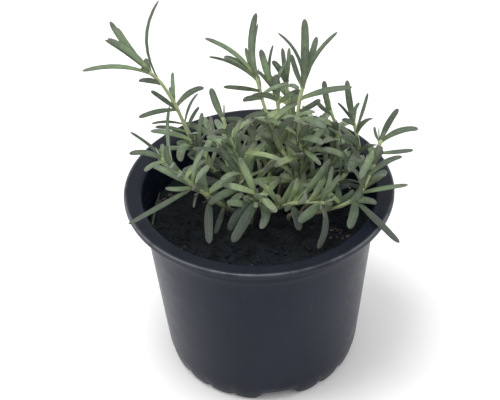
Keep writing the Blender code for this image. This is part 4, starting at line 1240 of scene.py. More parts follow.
@dataclass
class PottingSoil:
    """The soil that fills the pot, with crumbs, dry scraps and a little grit on it."""
    edge_gap: float = 0.4
    rings: int = 74
    ring_power: float = 0.8
    columns: int = 200
    dome_radius: float = 50.0
    lump: float = 1.1
    crumble: float = 0.34
    crumble_gain: float = 9.0
    fine_waves: int = 30
    fine_length: Span = (1.8, 7.0)
    edge_fade: float = 3.0
    under_middle: float = 20.0
    side_heights: Span = (40.0, 72.0)
    lump_sides: int = 5
    lump_rows: Span = (-0.5, 0.45)
    lump_turn: float = 0.6
    lump_spread: Span = (0.65, 1.3)
    lump_rise: float = 0.2
    lump_stretch: Span = (0.7, 1.3)
    lump_lifted: float = 0.15
    lump_pole: float = 0.95
    lump_sharp_deg: float = 35.0
    crumb_count: int = 1900
    crumb_edge: float = 1.2
    crumb_log_size: Span = (-0.75, 0.5)
    crumb_size: Span = (0.22, 1.7)
    crumb_flatness: float = 0.75
    grit_edge: float = 1.5
    grit_size: Span = (0.5, 1.3)
    grit_flatness: float = 0.7
    seed: int = 7
    scatters: tuple[Scatter, ...] = (
        Scatter(DryFinish("pale_grit", (0.20, 0.20, 0.18), (0.42, 0.41, 0.38)),
                ((41.0, 22.0), (43.0, 16.0), (-16.0, 44.0), (-22.0, 41.0)), 2.4, 0.5, 31),
        Scatter(DryFinish("bark_bits", (0.018, 0.015, 0.013), (0.062, 0.049, 0.039)),
                ((34.0, -14.5), (37.0, -16.5), (40.5, -19.5), (-44.0, 12.0), (44.0, 8.0)),
                1.9, 1.1, 41),
    )

    @property
    def radius(self) -> float:
        """The top's outer radius."""
        return inner_radius(SOIL_EDGE) - self.edge_gap

    def height(self, x: Array, y: Array) -> Array:
        """Height of the top: a shallow dome, four crossed waves and many finer ones on them.

        The dome falls with the square of the radius. A finer wave is the size of a sine, and
        all of them fade out at the wall.

        Args:
            x: Places across, in millimetres.
            y: Places in depth.

        Returns:
            The heights.
        """
        radius = np.hypot(x, y)
        dome = SOIL_TOP - (radius / self.dome_radius) ** 2 * (SOIL_TOP - SOIL_EDGE)
        waves = (np.sin(0.31 * x + 1.0) * np.cos(0.27 * y)
                 + 0.6 * np.sin(0.55 * y + 0.21 * x + 2.0)
                 + 0.5 * np.cos(0.47 * x - 0.38 * y)
                 + 0.4 * np.sin(0.83 * x) * np.sin(0.71 * y + 0.5))
        random = np.random.default_rng(self.seed)
        turn = random.uniform(0.0, math.tau, self.fine_waves)
        pitch = math.tau / random.uniform(*self.fine_length, self.fine_waves)
        phase = random.uniform(0.0, math.tau, self.fine_waves)
        ways = np.stack([np.cos(turn), np.sin(turn)])
        angle = 0.5 * (np.stack([x, y], -1) @ ways * pitch + phase)
        fine = np.abs(np.sin(angle)).mean(-1) - 0.5
        fade = np.clip((self.radius - radius) / self.edge_fade, 0.0, 1.0)
        return dome + (self.lump * waves + self.crumble * self.crumble_gain * fine) * fade

    def body(self) -> Surface:
        """The filling.

        Returns:
            Its surface, up the side and in over the top, row by row.
        """
        gap = self.edge_gap
        bottom = FLOOR_TOP + gap
        corner = FLOOR_CORNER + 2.0 * gap
        side = np.array([[self.under_middle, bottom], [FLOOR_RADIUS - 2.0 * gap, bottom]]
                        + [[inner_radius(height) - gap, height]
                           for height in (corner, *self.side_heights)])
        inward = (1.0 - np.arange(self.rings) / self.rings) ** self.ring_power
        angle = math.tau * np.arange(self.columns) / self.columns
        radius = np.concatenate([side[:, 0], self.radius * inward])[:, None]
        x = radius * np.cos(angle)
        y = radius * np.sin(angle)
        z = self.height(x, y)
        z[:len(side)] = side[:, 1:]
        middle = float(self.height(np.zeros(1), np.zeros(1))[0])
        return tubes(np.stack([x, y, z], -1)[None], on_axis(bottom), on_axis(middle))

    def lumps(self, x: Array, y: Array, size: Array, flatness: float, seed: int) -> Surface:
        """Small faceted lumps that lie half sunk on the soil.

        Each is two rings of five points with a point above and below, and every ring point
        is drawn in or out at random.

        Args:
            x: Places across, in millimetres.
            y: Places in depth.
            size: Half the width of each lump.
            flatness: Height against width.
            seed: Seed of the draws.

        Returns:
            The surface of all the lumps.
        """
        random = np.random.default_rng(seed)
        count = len(x)
        shape = (count, 2, self.lump_sides)
        turn = math.tau * np.arange(self.lump_sides) / self.lump_sides
        rows = np.array(self.lump_rows)
        reach = np.sqrt(1.0 - rows ** 2)
        angle = turn[None, None] + np.array([0.0, self.lump_turn])[None, :, None]
        angle = angle + random.uniform(0.0, math.tau, (count, 1, 1))
        spread = reach[None, :, None] * random.uniform(*self.lump_spread, shape)
        rise = rows[None, :, None] + random.uniform(-self.lump_rise, self.lump_rise, shape)
        stretch = random.uniform(*self.lump_stretch, (count, 1, 1))
        rings = np.stack([spread * np.cos(angle) * stretch, spread * np.sin(angle),
                          rise * flatness], -1)
        centre = np.stack([x, y, self.height(x, y) + self.lump_lifted * size], -1)
        rings = centre[:, None, None] + rings * size[:, None, None, None]
        pole = np.array([0.0, 0.0, self.lump_pole * flatness])
        return tubes(rings, centre - pole * size[:, None], centre + pole * size[:, None])

    def crumbs(self) -> Surface:
        """Loose crumbs all over the top.

        Returns:
            Their surface. Most of them are small: the sizes are log-normal.
        """
        random = np.random.default_rng(self.seed + 1)
        reach = self.radius - self.crumb_edge
        radius = reach * np.sqrt(random.uniform(0.0, 1.0, self.crumb_count))
        angle = random.uniform(0.0, math.tau, self.crumb_count)
        size = np.clip(random.lognormal(*self.crumb_log_size, self.crumb_count), *self.crumb_size)
        return self.lumps(radius * np.cos(angle), radius * np.sin(angle), size,
                          self.crumb_flatness, self.seed + 2)

    def grit(self, scatter: Scatter) -> Surface:
        """Grains strewn round some places, and kept off the wall.

        Args:
            scatter: Which places, and how.

        Returns:
            The grains' surface.
        """
        random = np.random.default_rng(scatter.seed)
        middle = np.repeat(np.array(scatter.places), scatter.each, axis=0)
        flat = middle + random.normal(0.0, scatter.spread, middle.shape)
        reach = self.radius - self.grit_edge
        flat *= np.minimum(1.0, reach / np.hypot(flat[:, 0], flat[:, 1]))[:, None]
        size = scatter.size * random.uniform(*self.grit_size, len(flat))
        return self.lumps(flat[:, 0], flat[:, 1], size, self.grit_flatness, scatter.seed + 1)

    def build(self, effects: Effects) -> None:
        """Makes the soil in place of its solid, with what lies on it.

        Args:
            effects: The shared node groups.
        """
        dark = SoilFinish().material(effects)
        make_piece("potting_soil", self.body(), [dark], ["soil"])
        make_piece("soil_crumbs", self.crumbs(), [dark], sharp_deg=self.lump_sharp_deg)
        for scatter in self.scatters:
            make_piece(scatter.finish.name, self.grit(scatter),
                       [scatter.finish.material(effects)], sharp_deg=self.lump_sharp_deg)


class LeafKind(Enum):
    """How finely a leaf is drawn: where along it sections stand, and a section's points.

    A place along is a share of the length. A point has its place across in half widths, its
    rise in body heights and its share in the upper side. The grown blade has two shoulders, a
    groove between them and a rib under it.
    """
    GROWN = ((0.0, 0.10, 0.22, 0.35, 0.48, 0.61, 0.74, 0.87, 0.945, 0.985),
             ((1.0, -0.14, 0.5), (0.74, 0.12, 1.0), (0.0, -0.05, 1.0), (-0.74, 0.12, 1.0),
              (-1.0, -0.14, 0.5), (0.0, -0.45, 0.0)))
    SMALL = ((0.0, 0.3, 0.6, 0.86, 0.96),
             ((1.0, 0.0, 0.5), (0.0, -0.05, 1.0), (-1.0, 0.0, 0.5), (0.0, -0.45, 0.0)))

    @property
    def stations(self) -> Array:
        """Shares of the length at which a section stands."""
        return np.array(self.value[0])

    @property
    def section(self) -> Array:
        """Across, rise and upper share of a section's points, one row each."""
        return np.array(self.value[1]).T


@dataclass
class Blades:
    """Leaves as arrays with one row a leaf, in millimetres and radians."""
    root: Array
    bend: Array
    tip: Array
    up: Array
    half_width: Array
    twist: Array
    # luck is a random tone times painted light and shade, and youth is scaled by the same
    # lightness.
    luck: Array
    youth: Array
    root_share: float = 0.55
    widest_from: float = 0.50
    narrowing: float = 0.17
    blunt_from: float = 0.86
    body: float = 1.6
    body_span: Span = (0.75, 1.1)
    thinning: float = 0.35

    def spine(self, stations: Array) -> tuple[Array, Array]:
        """Each leaf's middle line, a quadratic blend of its root, bend and tip.

        Args:
            stations: Shares of the length.

        Returns:
            The points there and the unit directions.
        """
        share = stations[None, :, None]
        root, bend, tip = (each[:, None] for each in (self.root, self.bend, self.tip))
        points = (1 - share) ** 2 * root + 2 * share * (1 - share) * bend + share ** 2 * tip
        return points, unit(2 * (1 - share) * (bend - root) + 2 * share * (tip - bend))

    def surface(self, kind: LeafKind) -> Surface:
        """The blades' skins.

        A strap's half width grows over its first part, keeps on, narrows a little and ends in
        a half ellipse, which is short and so makes the tip blunt.

        Args:
            kind: How finely they are drawn.

        Returns:
            The surface, with its values for the finish.
        """
        stations = kind.stations
        centre, way = self.spine(stations)
        side = unit(np.cross(self.up[:, None], way))
        over = np.cross(way, side)
        turn = (self.twist[:, None] * stations)[..., None]
        side, over = (side * np.cos(turn) + over * np.sin(turn),
                      over * np.cos(turn) - side * np.sin(turn))
        growth = smooth_step(stations / self.widest_from)
        growth = self.root_share + (1.0 - self.root_share) * growth
        beyond = (stations - self.widest_from) / (1.0 - self.widest_from)
        growth = growth * (1.0 - self.narrowing * smooth_step(beyond))
        past = np.clip(stations - self.blunt_from, 0.0, None) / (1.0 - self.blunt_from)
        round_tip = np.sqrt(1.0 - past ** 2)
        width = self.half_width[:, None] * growth * round_tip
        share = np.clip(self.half_width / LEAF_HALF_WIDTH, *self.body_span)[:, None]
        body = self.body * share * (1.0 - self.thinning * stations) * round_tip
        across, rise, upper = kind.section
        rings = (centre[:, :, None] + side[:, :, None] * (width[..., None] * across)[..., None]
                 + over[:, :, None] * (body[..., None] * rise)[..., None])
        surface = tubes(rings, self.root, self.tip)
        full = rings.shape[:-1]
        zeros, ones = np.zeros(full[0]), np.ones(full[0])
        named = {"along": (stations[None, :, None], zeros, ones), "across": (across, zeros, zeros),
                 "upper": (upper, 0.5 * ones, 0.5 * ones),
                 "luck": (self.luck[:, None, None], self.luck, self.luck),
                 "youth": (self.youth[:, None, None], self.youth, self.youth)}
        surface.values = {name: tube_values(np.broadcast_to(inner, full), first, last)
                          for name, (inner, first, last) in named.items()}
        return surface


def merge_blades(sets: Sequence[Blades]) -> Blades:
    """All the leaves of several sets in one."""
    names = ("root", "bend", "tip", "up", "half_width", "twist", "luck", "youth")
    return Blades(*(np.concatenate([getattr(each, name) for each in sets]) for name in names))


class Route:
    """A stem's line through its points: straight in the soil, then a Catmull-Rom curve."""

    samples: int = 800
    heading_reach: float = 0.05

    def __init__(self, points: Sequence[Point]) -> None:
        """Keeps the points.

        Args:
            points: The stem's points in millimetres, from its foot in the soil up.
        """
        self.points = np.array(points, float)
        self.end = len(points) - 1.0

    def at(self, places: Array) -> Array:
        """Points of the stem.

        Between two points of the route the curve is a cubic through both, as steep at each
        as the line between its neighbours. The first stretch is straight.

        Args:
            places: Places counted in route points.

        Returns:
            The points in millimetres.
        """
        last = len(self.points) - 1
        first = np.minimum(places.astype(int), last - 1)
        share = (places - first)[:, None]
        before = self.points[np.maximum(first - 1, 0)]
        here = self.points[first]
        there = self.points[first + 1]
        after = np.where((first + 2 <= last)[:, None], self.points[np.minimum(first + 2, last)],
                         2.0 * there - here)
        squared = 2.0 * before - 5.0 * here + 4.0 * there - after
        cubed = 3.0 * here - before - 3.0 * there + after
        curve = 0.5 * (2.0 * here + (there - before) * share + squared * share ** 2
                       + cubed * share ** 3)
        return np.where((first == 0)[:, None], here + (there - here) * share, curve)

    def heading(self, places: Array) -> Array:
        """Directions of the stem at places on its route, each from just below to just above."""
        low = np.maximum(places - self.heading_reach, 0.0)
        high = np.minimum(places + self.heading_reach, self.end)
        return unit(self.at(high) - self.at(low))

    def lengths(self, places: Array) -> Array:
        """Length of the stem from its foot to each place, summed over short straight steps."""
        samples = np.linspace(0.0, self.end, self.samples)
        return np.interp(places, samples, self.run(samples))

    def run(self, samples: Array) -> Array:
        """Length from the first of some places to each of them, along straight steps."""
        steps = np.linalg.norm(np.diff(self.at(samples), axis=0), axis=1)
        return np.concatenate([[0.0], np.cumsum(steps)])


@dataclass
class Crowd:
    """Sample points of the leaves that stand already, which a further leaf keeps clear of."""
    stations: tuple[float, ...] = (0.35, 0.5, 0.65, 0.8, 0.97)
    room: float = 2.1
    soil_room: float = 4.0
    wall_room: float = 3.0
    wall_above: float = 2.0
    taken: list[Array] = field(default_factory=list)

    def _samples(self, blades: Blades) -> Array:
        """Points along the leaves."""
        return blades.spine(np.array(self.stations))[0].reshape(-1, 3)

    def add(self, blades: Blades) -> None:
        """Takes in some leaves."""
        self.taken.append(self._samples(blades))

    def is_clear(self, blades: Blades) -> bool:
        """Whether one leaf keeps its room.

        Args:
            blades: The leaf.

        Returns:
            Whether its samples are clear of all the others', the soil and the wall.
        """
        own = self._samples(blades)
        others = np.concatenate(self.taken)
        nearest = np.linalg.norm(own[:, None] - others[None], axis=-1).min()
        is_low = own[:, 2] < RIM_HEIGHT + self.wall_above
        is_past = np.hypot(own[:, 0], own[:, 1]) > inner_radius(own[:, 2]) - self.wall_room
        is_over_soil = own[:, 2].min() > SOIL_TOP + self.soil_room
        return bool(nearest > self.room and is_over_soil and not np.any(is_low & is_past))


def rise_over(value: Array, start: float, width: float) -> Array:
    """Zero up to start, and smoothly one over a width."""
    return smooth_step((value - start) / width)


def bell(value: Array, middle: float, reach: float) -> Array:
    """One in the middle, falling off on both sides as a Gaussian."""
    return np.exp(-((value - middle) / reach) ** 2)


@dataclass
class DressedShoot:
    """One shoot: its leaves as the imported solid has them, and the finer growth round them.

    The spans of draws are least and most, and those that rise_over takes are where a change
    begins and how far it goes.
    """
    shoot: Shoot
    number: int
    first_seed: int = 500
    same_twist: float = 0.22
    luck: Span = (0.6, 1.15)
    young: Span = (0.6, 1.0)
    # Narrow leaves are painted darker, as shade.
    narrow: Span = (0.25, 0.3)
    narrow_light: float = 0.2
    down: float = 0.12
    # Painted shade on the leaves that a shoot lists as dark.
    painted_shade_tone: float = 0.35
    # Painted shade on low leaves and on a darker shoot's upper leaves, and painted light in the
    # mound's middle.
    low: Span = (88.0, 13.0)
    upper: Span = (111.0, 14.0)
    common_light: float = 0.84
    middle_light: float = 0.5
    middle_x: float = 6.0
    light_reach: float = 24.0
    light_top: Span = (118.0, 10.0)
    shoot_end: Span = (0.45, 0.6)
    end_fresh: float = 0.2
    middle_fresh: float = 0.85
    fresh_reach: float = 18.0
    fresh: Span = (94.0, 8.0)
    fresh_top: Span = (120.0, 10.0)
    small_bow: Span = (-0.08, 0.14)
    small_twist: float = 0.3
    axil_share: float = 0.45
    axils_below: float = 112.0
    axil_swing: float = 0.22
    axil_scatter: float = 0.1
    axil_outward: Span = (0.45, 0.75)
    axil_sum: float = 1.15
    axil_length: Span = (4.5, 10.5)
    axil_half_width: Span = (0.8, 1.2)
    axil_young: Span = (0.2, 0.7)
    tip_leaves: int = 3
    tip_below_end: float = 0.04
    tip_scatter: float = 0.2
    tip_lean: Span = (0.12, 0.5)
    tip_length: Span = (3.0, 6.0)
    tip_half_width: Span = (0.75, 1.0)
    tip_young: float = 0.5
    extra_breadth: float = 0.8
    extra_turn: float = 45.0
    extra_swing: float = 25.0
    extra_lean: Span = (20.0, 58.0)
    extra_length: Span = (11.0, 21.0)
    pair_step: float = 0.02
    stem_step: float = 1.1
    stem_samples: int = 600
    stem_sides: int = 12
    stem_square: float = 0.07
    stem_slim: float = 0.92
    stem_swelling: float = 0.22
    stem_swell_reach: float = 1.0
    stem_foot: float = 0.3
    stem_end: float = 0.4
    green: Span = (6.0, 14.0)

    def __post_init__(self) -> None:
        """Finds the shoot's leaves by the corners of its solid."""
        self.route = Route(self.shoot.route)
        self.random = np.random.default_rng(self.first_seed + self.number)
        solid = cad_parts[self.shoot.name].data
        corners = np.empty(len(solid.vertices) * 3, np.float32)
        solid.vertices.foreach_get("co", corners)
        self.corners = corners.reshape(-1, 3).astype(float) / MM
        self.leaves = self._placed() + self._filled(FILL_SEED + self.number)
        self.grown = self._blades(self.leaves)
        self.small: list[Blades] = []

    def _choose(self, tips: Array) -> int | None:
        """Number of the first tip at which the solid has a corner, or None."""
        gaps = np.linalg.norm(tips[:, None] - self.corners[None], axis=-1).min(1)
        found = np.flatnonzero(gaps < SAME_PLACE)
        return int(found[0]) if len(found) else None

    def _placed(self) -> list[Leaf]:
        """The listed leaves.

        Returns:
            Those that the solid has, each moved along the line of sight as it is there.
        """
        found = []
        for number, leaf in enumerate(self.shoot.leaves):
            # Leaves that the shoot lists as dark take painted shade.
            tone = self.painted_shade_tone if number in self.shoot.dark else 1.0
            sight = unit(np.array(leaf.tip) - EYE)
            tips = np.array(leaf.tip) + sight * GIVE_WAY[:, None]
            choice = self._choose(tips)
            if choice is not None:
                found.append(replace(leaf, tip=tuple(tips[choice]), tone=tone))
        return found

    def _pairs(self, spacing: float) -> Array:
        """Places of leaf pairs along the filled stretch, evenly spaced by length."""
        samples = np.arange(self.shoot.fill_from, self.shoot.fill_to, self.pair_step)
        lengths = self.route.run(samples)
        return np.interp(np.arange(0.0, lengths[-1], spacing), lengths, samples)

    def _trials(self, place: float, turn: float, lean: float, length: float) -> Array:
        """Tips that a filled leaf may take.

        Args:
            place: Its place on the route.
            turn: Its turn about the stem in degrees.
            lean: Its lean away from the stem in radians.
            length: Its length in millimetres.

        Returns:
            The tips, in the order of preference: at full length first, and turned little.
        """
        axis = self.route.heading(np.array([place]))[0]
        outward = around(axis, (np.radians(turn) + FILL_TURNS)[:, None])
        way = axis * math.cos(lean) + outward * math.sin(lean)
        reach = length * np.repeat(FILL_SHRINK, len(FILL_TURNS))[:, None]
        return self.route.at(np.array([place])) + np.tile(way, (len(FILL_SHRINK), 1)) * reach

    def _filled(self, seed: int) -> list[Leaf]:
        """The leaves between the listed ones, by the draws that placed them in the solid.

        Args:
            seed: Seed of the draws.

        Returns:
            Those that the solid has.
        """
        random = np.random.default_rng(seed)
        found = []
        for number, place in enumerate(self._pairs(FILL_SPACING)):
            for half in range(2):
                turn = 90.0 * number + 180.0 * half + random.uniform(-FILL_SWING, FILL_SWING)
                lean = math.radians(random.uniform(*FILL_LEAN))
                length = random.uniform(*FILL_LENGTH)
                bow = random.uniform(*FILL_BOW)
                breadth = random.uniform(*FILL_BREADTH)
                tips = self._trials(place, turn, lean, length)
                choice = self._choose(tips)
                if choice is not None:
                    tip = tuple(tips[choice])
                    found.append(Leaf(float(place), tip, bow, breadth, 0.0, FILLED_FACING))
        return found

    def _stations(self, leaves: Sequence[Leaf]) -> Array:
        """The leaves' places on the route, none past the stem's end."""
        return np.minimum([leaf.station for leaf in leaves], self.route.end - TIP_INSET)

    def _blades(self, leaves: Sequence[Leaf]) -> Blades:
        """The leaves as arrays, bowed, swayed and turned to the eye as their solids are.

        Args:
            leaves: The leaves.

        Returns:
            One row for each.
        """
        stations = self._stations(leaves)
        tip, bow, sway, facing, breadth, tone = (
            np.array([getattr(leaf, name) for leaf in leaves]).reshape(len(leaves), -1)
            for name in ("tip", "bow", "sway", "facing", "breadth", "tone"))
        breadth = breadth[:, 0]
        root = self.route.at(stations) + ROOT_SCATTER * np.sin(ROOT_SCATTER_PITCH * tip)
        way = unit(tip - root)
        inward = self.route.heading(stations)
        inward = inward - part_along(inward, way)
        is_flat = np.linalg.norm(inward, axis=1, keepdims=True) < LEAST_LIFT
        inward = np.where(is_flat, LEAST_LIFT * unit(np.cross(way, (1.0, 0.0, 0.0))), inward)
        middle = 0.5 * (root + tip)
        sight = unit(middle - EYE)
        right = unit(np.cross(sight, way))
        to_eye = unit(part_along(sight, way) - sight)
        to_eye = np.where((inward * to_eye).sum(1, keepdims=True) < 0.0, -to_eye, to_eye)
        count = len(leaves)
        # Painted light and shade: narrow, listed dark and low leaves darker, those in the mound's
        # middle lighter.
        narrow = rise_over(breadth, *self.narrow)
        lightness = self._lightness(tip) * tone[:, 0] * (self.narrow_light
                                                         + (1.0 - self.narrow_light) * narrow)
        return Blades(
            root=root, bend=middle + 2.0 * (bow * unit(inward) + sway * right), tip=tip,
            up=unit((1.0 - facing) * inward + facing * to_eye),
            half_width=LEAF_HALF_WIDTH * breadth + self.down,
            twist=self.random.normal(0.0, self.same_twist, count),
            luck=np.clip(lightness * self.random.uniform(*self.luck, count), 0.0, 1.0),
            youth=(self._freshness(stations, tip) * lightness
                   * self.random.uniform(*self.young, count)))

    def _lightness(self, tip: Array) -> Array:
        """How light each leaf is: painted shade where it hangs low, painted light in the mound's
        middle.

        Args:
            tip: The leaves' tips.

        Returns:
            A number for each, mostly from 0 to 1.
        """
        x, z = tip[:, 0], tip[:, 2]
        high = rise_over(z, *self.upper)
        middle = bell(x, self.middle_x, self.light_reach)
        middle = middle * (1.0 - rise_over(z, *self.light_top))
        light = self.common_light + self.middle_light * middle
        return rise_over(z, *self.low) * (1.0 - (1.0 - self.shoot.tone) * high) * light

    def _freshness(self, stations: Array, tip: Array) -> Array:
        """How fresh each leaf is: more towards the shoot's end and in the mound's middle.

        Args:
            stations: The leaves' places on the route.
            tip: Their tips.

        Returns:
            A number from 0 to 1 for each.
        """
        z = tip[:, 2]
        upward = rise_over(stations / self.route.end, *self.shoot_end)
        rise = rise_over(z, *self.fresh) * (1.0 - rise_over(z, *self.fresh_top))
        middle = bell(tip[:, 0], self.middle_x, self.fresh_reach)
        return np.clip(self.end_fresh * upward + self.middle_fresh * middle * rise, 0.0, 1.0)

    def _small_blades(self, station: Array, way: Array, length: Array, half_width: Array,
                      youth: Array) -> Blades:
        """Short leaves close to the stem.

        Args:
            station: Places on the route.
            way: Unit directions from the stem to the tips.
            length: Lengths in millimetres.
            half_width: Half widths in millimetres.
            youth: How fresh each is, from 0 to 1.

        Returns:
            The leaves as arrays.
        """
        root = self.route.at(station)
        heading = self.route.heading(station)
        up = unit(heading - part_along(heading, way) + NUDGE)
        tip = root + way * length[:, None]
        bow = self.random.uniform(*self.small_bow, len(station))[:, None] * length[:, None]
        # Their luck is only the painted light and shade of their place.
        return Blades(root=root, bend=0.5 * (root + tip) - bow * up, tip=tip, up=up,
                      half_width=half_width,
                      twist=self.random.normal(0.0, self.small_twist, len(station)),
                      luck=self._lightness(tip), youth=youth)

    def add_axils(self) -> None:
        """Adds small leaf pairs in the angle between the stem and some of its leaves."""
        chosen = self.random.uniform(size=len(self.grown.root)) < self.axil_share
        chosen &= self.grown.root[:, 2] < self.axils_below
        stations = self._stations(self.leaves)[chosen]
        outward = unit(self.grown.tip[chosen] - self.grown.root[chosen])
        heading = self.route.heading(stations)
        count = len(stations)
        for swing in (-self.axil_swing, self.axil_swing):
            share = self.random.uniform(*self.axil_outward, (count, 1))
            aside = swing + self.random.normal(0.0, self.axil_scatter, (count, 1))
            aside = unit(np.cross(outward, heading)) * aside
            way = unit(outward * share + heading * (self.axil_sum - share) + aside)
            self.small.append(self._small_blades(
                stations, way, self.random.uniform(*self.axil_length, count),
                self.random.uniform(*self.axil_half_width, count),
                self.random.uniform(*self.axil_young, count)))

    def add_tip(self) -> None:
        """Adds a tuft of young leaves round the growing point."""
        count = self.tip_leaves
        stations = np.full(count, self.route.end - self.tip_below_end)
        heading = self.route.heading(stations)
        scatter = self.random.normal(0.0, self.tip_scatter, count)
        angle = (math.tau * np.arange(count) / count + scatter)[:, None]
        lean = self.random.uniform(*self.tip_lean, (count, 1))
        way = unit(heading * np.cos(lean) + around(heading, angle) * np.sin(lean))
        self.small.append(self._small_blades(
            stations, way, self.random.uniform(*self.tip_length, count),
            self.random.uniform(*self.tip_half_width, count), np.full(count, self.tip_young)))

    def add_between(self, crowd: Crowd, spacing: float) -> int:
        """Adds mid-sized leaves in the low mound, where there is room.

        Args:
            crowd: All the leaves that stand already.
            spacing: Distance between the pairs along the stem.

        Returns:
            How many found room.
        """
        extra = []
        for number, place in enumerate(self._pairs(spacing)):
            for half in range(2):
                swing = self.random.uniform(-self.extra_swing, self.extra_swing)
                turn = 90.0 * number + self.extra_turn + 180.0 * half + swing
                lean = math.radians(self.random.uniform(*self.extra_lean))
                length = self.random.uniform(*self.extra_length)
                for tip in self._trials(place, turn, lean, length):
                    rise = -SIGHT[2] * tip[1] + SIGHT[1] * (tip[2] - RIM_HEIGHT)
                    low = np.interp(tip[0], MOUND_X, MOUND_LOW)
                    high = np.interp(tip[0], MOUND_X, MOUND_HIGH)
                    if not low < rise < high:
                        continue
                    blades = self._blades([Leaf(float(place), tuple(tip), LEAF_BOW,
                                                self.extra_breadth, 0.0, FILLED_FACING)])
                    if crowd.is_clear(blades):
                        crowd.add(blades)
                        extra.append(blades)
                        break
        self.grown = merge_blades([self.grown, *extra])
        return len(extra)

    def stem(self) -> Surface:
        """The stem: slightly square rings along its route, swollen where leaves stand.

        The radius falls evenly to the tip, and a bell at each leaf adds to it.

        Returns:
            The stem's surface, with its age for the finish.
        """
        total = float(self.route.lengths(np.array([self.route.end]))[0])
        count = int(total / self.stem_step)
        fine = np.linspace(0.0, self.route.end, self.stem_samples)
        places = np.interp(np.linspace(0.0, total, count), self.route.lengths(fine), fine)
        lengths = self.route.lengths(places)
        joints = self.route.lengths(np.unique(self._stations(self.leaves)))
        swelling = bell(lengths[:, None], joints[None], self.stem_swell_reach).max(1)
        share = places / self.route.end
        radius = STEM_RADIUS + (STEM_TIP_RADIUS - STEM_RADIUS) * share
        radius = radius * (self.stem_slim + self.stem_swelling * swelling)
        heading = self.route.heading(places)
        angle = math.tau * np.arange(self.stem_sides) / self.stem_sides
        square = 1.0 + self.stem_square * np.cos(4.0 * angle)
        ring = around(heading[:, None], angle[:, None])
        points = self.route.at(places)
        rings = points[:, None] + ring * (radius[:, None] * square)[..., None]
        surface = tubes(rings[None], points[:1] - heading[:1] * self.stem_foot,
                        points[-1:] + heading[-1:] * self.stem_end)
        young = rise_over(points[:, 2] - SOIL_TOP, *self.green)
        youth = np.broadcast_to(young[None, :, None], (1, count, self.stem_sides))
        surface.values = {"youth": tube_values(youth, np.zeros(1), np.ones(1))}
        return surface

    def build(self, leaf_finish: Material, stem_finish: Material) -> None:
        """Makes the shoot in place of its solid.

        Args:
            leaf_finish: The leaves' material.
            stem_finish: The stem's material.
        """
        blades = [self.grown.surface(LeafKind.GROWN).finished(0)]
        blades += [each.surface(LeafKind.SMALL).finished(0) for each in self.small]
        surface = join([*blades, self.stem().finished(1)])
        low, high = np.array(CAD_BOX) / MM
        surface.points = np.clip(surface.points, low + BOX_INSET, high - BOX_INSET)
        name = self.shoot.name.replace("shoot_", "rosemary_")
        make_piece(name, surface, [leaf_finish, stem_finish], [self.shoot.name])


@dataclass(frozen=True)
class ShedLeaf:
    """A narrow shed leaf that lies on the soil along the left of the wall."""
    spine: tuple[Point, ...] = ((-48.3, -7.5, 75.1), (-47.7, 6.0, 75.5), (-45.9, 18.5, 75.6))
    up: Point = (0.3, 0.0, 1.0)
    half_width: float = 0.6
    twist: float = 0.3
    narrowing: float = 0.6

    def build(self, finish: Material) -> None:
        """Makes the leaf.

        Args:
            finish: Its material.
        """
        ends = np.array(self.spine)
        one = np.ones(1)
        blade = Blades(root=ends[:1], bend=ends[1:2], tip=ends[2:], up=np.array([self.up]),
                       half_width=self.half_width * one, twist=self.twist * one,
                       luck=0.0 * one, youth=0.0 * one, narrowing=self.narrowing)
        make_piece("fallen_leaf", blade.surface(LeafKind.GROWN), [finish])


@dataclass(frozen=True)
class SoftLight:
    """A square soft light that faces the plant: place and side in metres, power in watts."""
    name: str
    place: Point
    side: float
    power: float


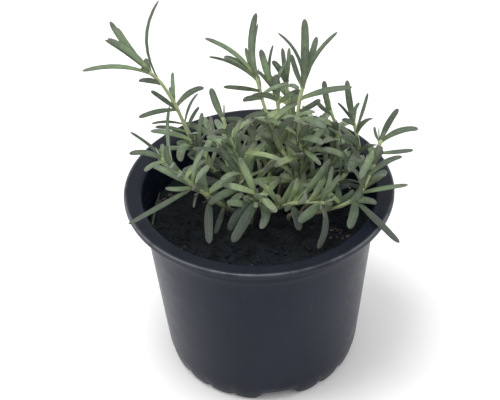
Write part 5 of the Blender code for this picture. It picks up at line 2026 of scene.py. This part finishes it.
@dataclass
class Studio:
    """Pale floor, soft lights and the camera at the photo's angle.

    aside moves a light's way a hair off the vertical, so that one overhead has a side too.
    """
    elevation_deg: float = 38.64
    distance: float = 568.5
    aim: Point = (5.61, -10.59, 92.0)
    roll_deg: float = -1.15
    lens: float = 93.6
    shift_x: float = -0.044
    clip_start: float = 0.01
    floor_size: float = 6.0
    lit_point: Point = (0.0, 0.0, 0.09)
    lights: tuple[SoftLight, ...] = (SoftLight("top_light", (-0.20, -0.15, 1.25), 0.42, 6.5),
                                     SoftLight("left_light", (-1.0, 0.05, 0.50), 0.8, 5.0),
                                     SoftLight("right_light", (1.0, 0.05, 0.50), 0.8, 3.0))
    aside: Point = (1e-4, 0.0, 0.0)
    surroundings: float = 0.85

    @staticmethod
    def aimed(item: Object, right: Array, up: Array, back: Array) -> None:
        """Turns a lamp or camera so that its own x, y and z point right, up and back."""
        item.rotation_euler = Matrix(np.stack([right, up, back], 1).tolist()).to_euler()

    def floor(self, effects: Effects) -> None:
        """Lays a wide pale sheet that the pot stands on.

        Args:
            effects: The shared node groups.
        """
        half = 0.5 * self.floor_size
        mesh = bpy.data.meshes.new("pale_floor")
        corners = [(x * half, y * half, 0.0) for x, y in ((-1, -1), (1, -1), (1, 1), (-1, 1))]
        mesh.from_pydata(corners, [], [(0, 1, 2, 3)])
        mesh.materials.append(FloorFinish().material(effects))
        floor = new_object("pale_floor", mesh)

    def light(self, light: SoftLight) -> None:
        """Hangs one light.

        Args:
            light: The light.
        """
        lamp = bpy.data.lights.new(light.name, "AREA")
        lamp.size = light.side
        lamp.energy = light.power
        item = new_object(light.name, lamp)
        item.location = light.place
        back = unit(np.array(light.place) - np.array(self.lit_point))
        right = unit(np.cross((0.0, 0.0, 1.0), back + np.array(self.aside)))
        self.aimed(item, right, np.cross(back, right), back)

    def camera(self) -> None:
        """Sets up the camera, turned down by its elevation and then rolled about its own axis."""
        tilt = math.radians(self.elevation_deg)
        roll = math.radians(self.roll_deg)
        forward = np.array([0.0, math.cos(tilt), -math.sin(tilt)])
        level = np.array([1.0, 0.0, 0.0])
        over = np.array([0.0, math.sin(tilt), math.cos(tilt)])
        right = math.cos(roll) * level + math.sin(roll) * over
        up = math.cos(roll) * over - math.sin(roll) * level
        data = bpy.data.cameras.new("photo_camera")
        data.lens = self.lens
        data.shift_x = self.shift_x
        data.clip_start = self.clip_start
        camera = new_object("photo_camera", data)
        camera.location = (np.array(self.aim) - self.distance * forward) * MM
        self.aimed(camera, right, up, -forward)
        bpy.context.scene.camera = camera

    def build(self, effects: Effects) -> None:
        """Sets up the floor, the lights, the pale surroundings and the camera.

        Args:
            effects: The shared node groups.
        """
        self.floor(effects)
        for light in self.lights:
            self.light(light)
        world = bpy.data.worlds.new("pale_surroundings")
        world.use_nodes = True
        Graph(world.node_tree).feed(world.node_tree.nodes["Background"],
                                    {"Color": (1.0, 1.0, 1.0), "Strength": self.surroundings})
        bpy.context.scene.world = world
        bpy.context.scene.view_settings.view_transform = "Standard"
        self.camera()


def main() -> None:
    """Builds the studio, the pot, the soil, every shoot and a shed leaf in order."""
    logging.basicConfig(level=logging.INFO, format="%(name)s %(message)s")
    effects = Effects()
    Studio().build(effects)
    Pot().build(effects)
    PottingSoil().build(effects)
    leaf_finish = LeafFinish().material(effects)
    stem_finish = StemFinish().material(effects)
    dressed = [DressedShoot(shoot, number) for number, shoot in enumerate(SHOOTS)]
    crowd = Crowd()
    for shoot in dressed:
        crowd.add(shoot.grown)
    for shoot in dressed:
        shoot.add_axils()
        shoot.add_tip()
        extra = shoot.add_between(crowd, EXTRA_SPACING)
        LOG.info("%s: %d leaves as in the solid and %d more", shoot.shoot.name,
                 len(shoot.leaves), extra)
    for shoot in dressed:
        shoot.build(leaf_finish, stem_finish)
    ShedLeaf().build(leaf_finish)


if __name__ == "__main__":
    main()
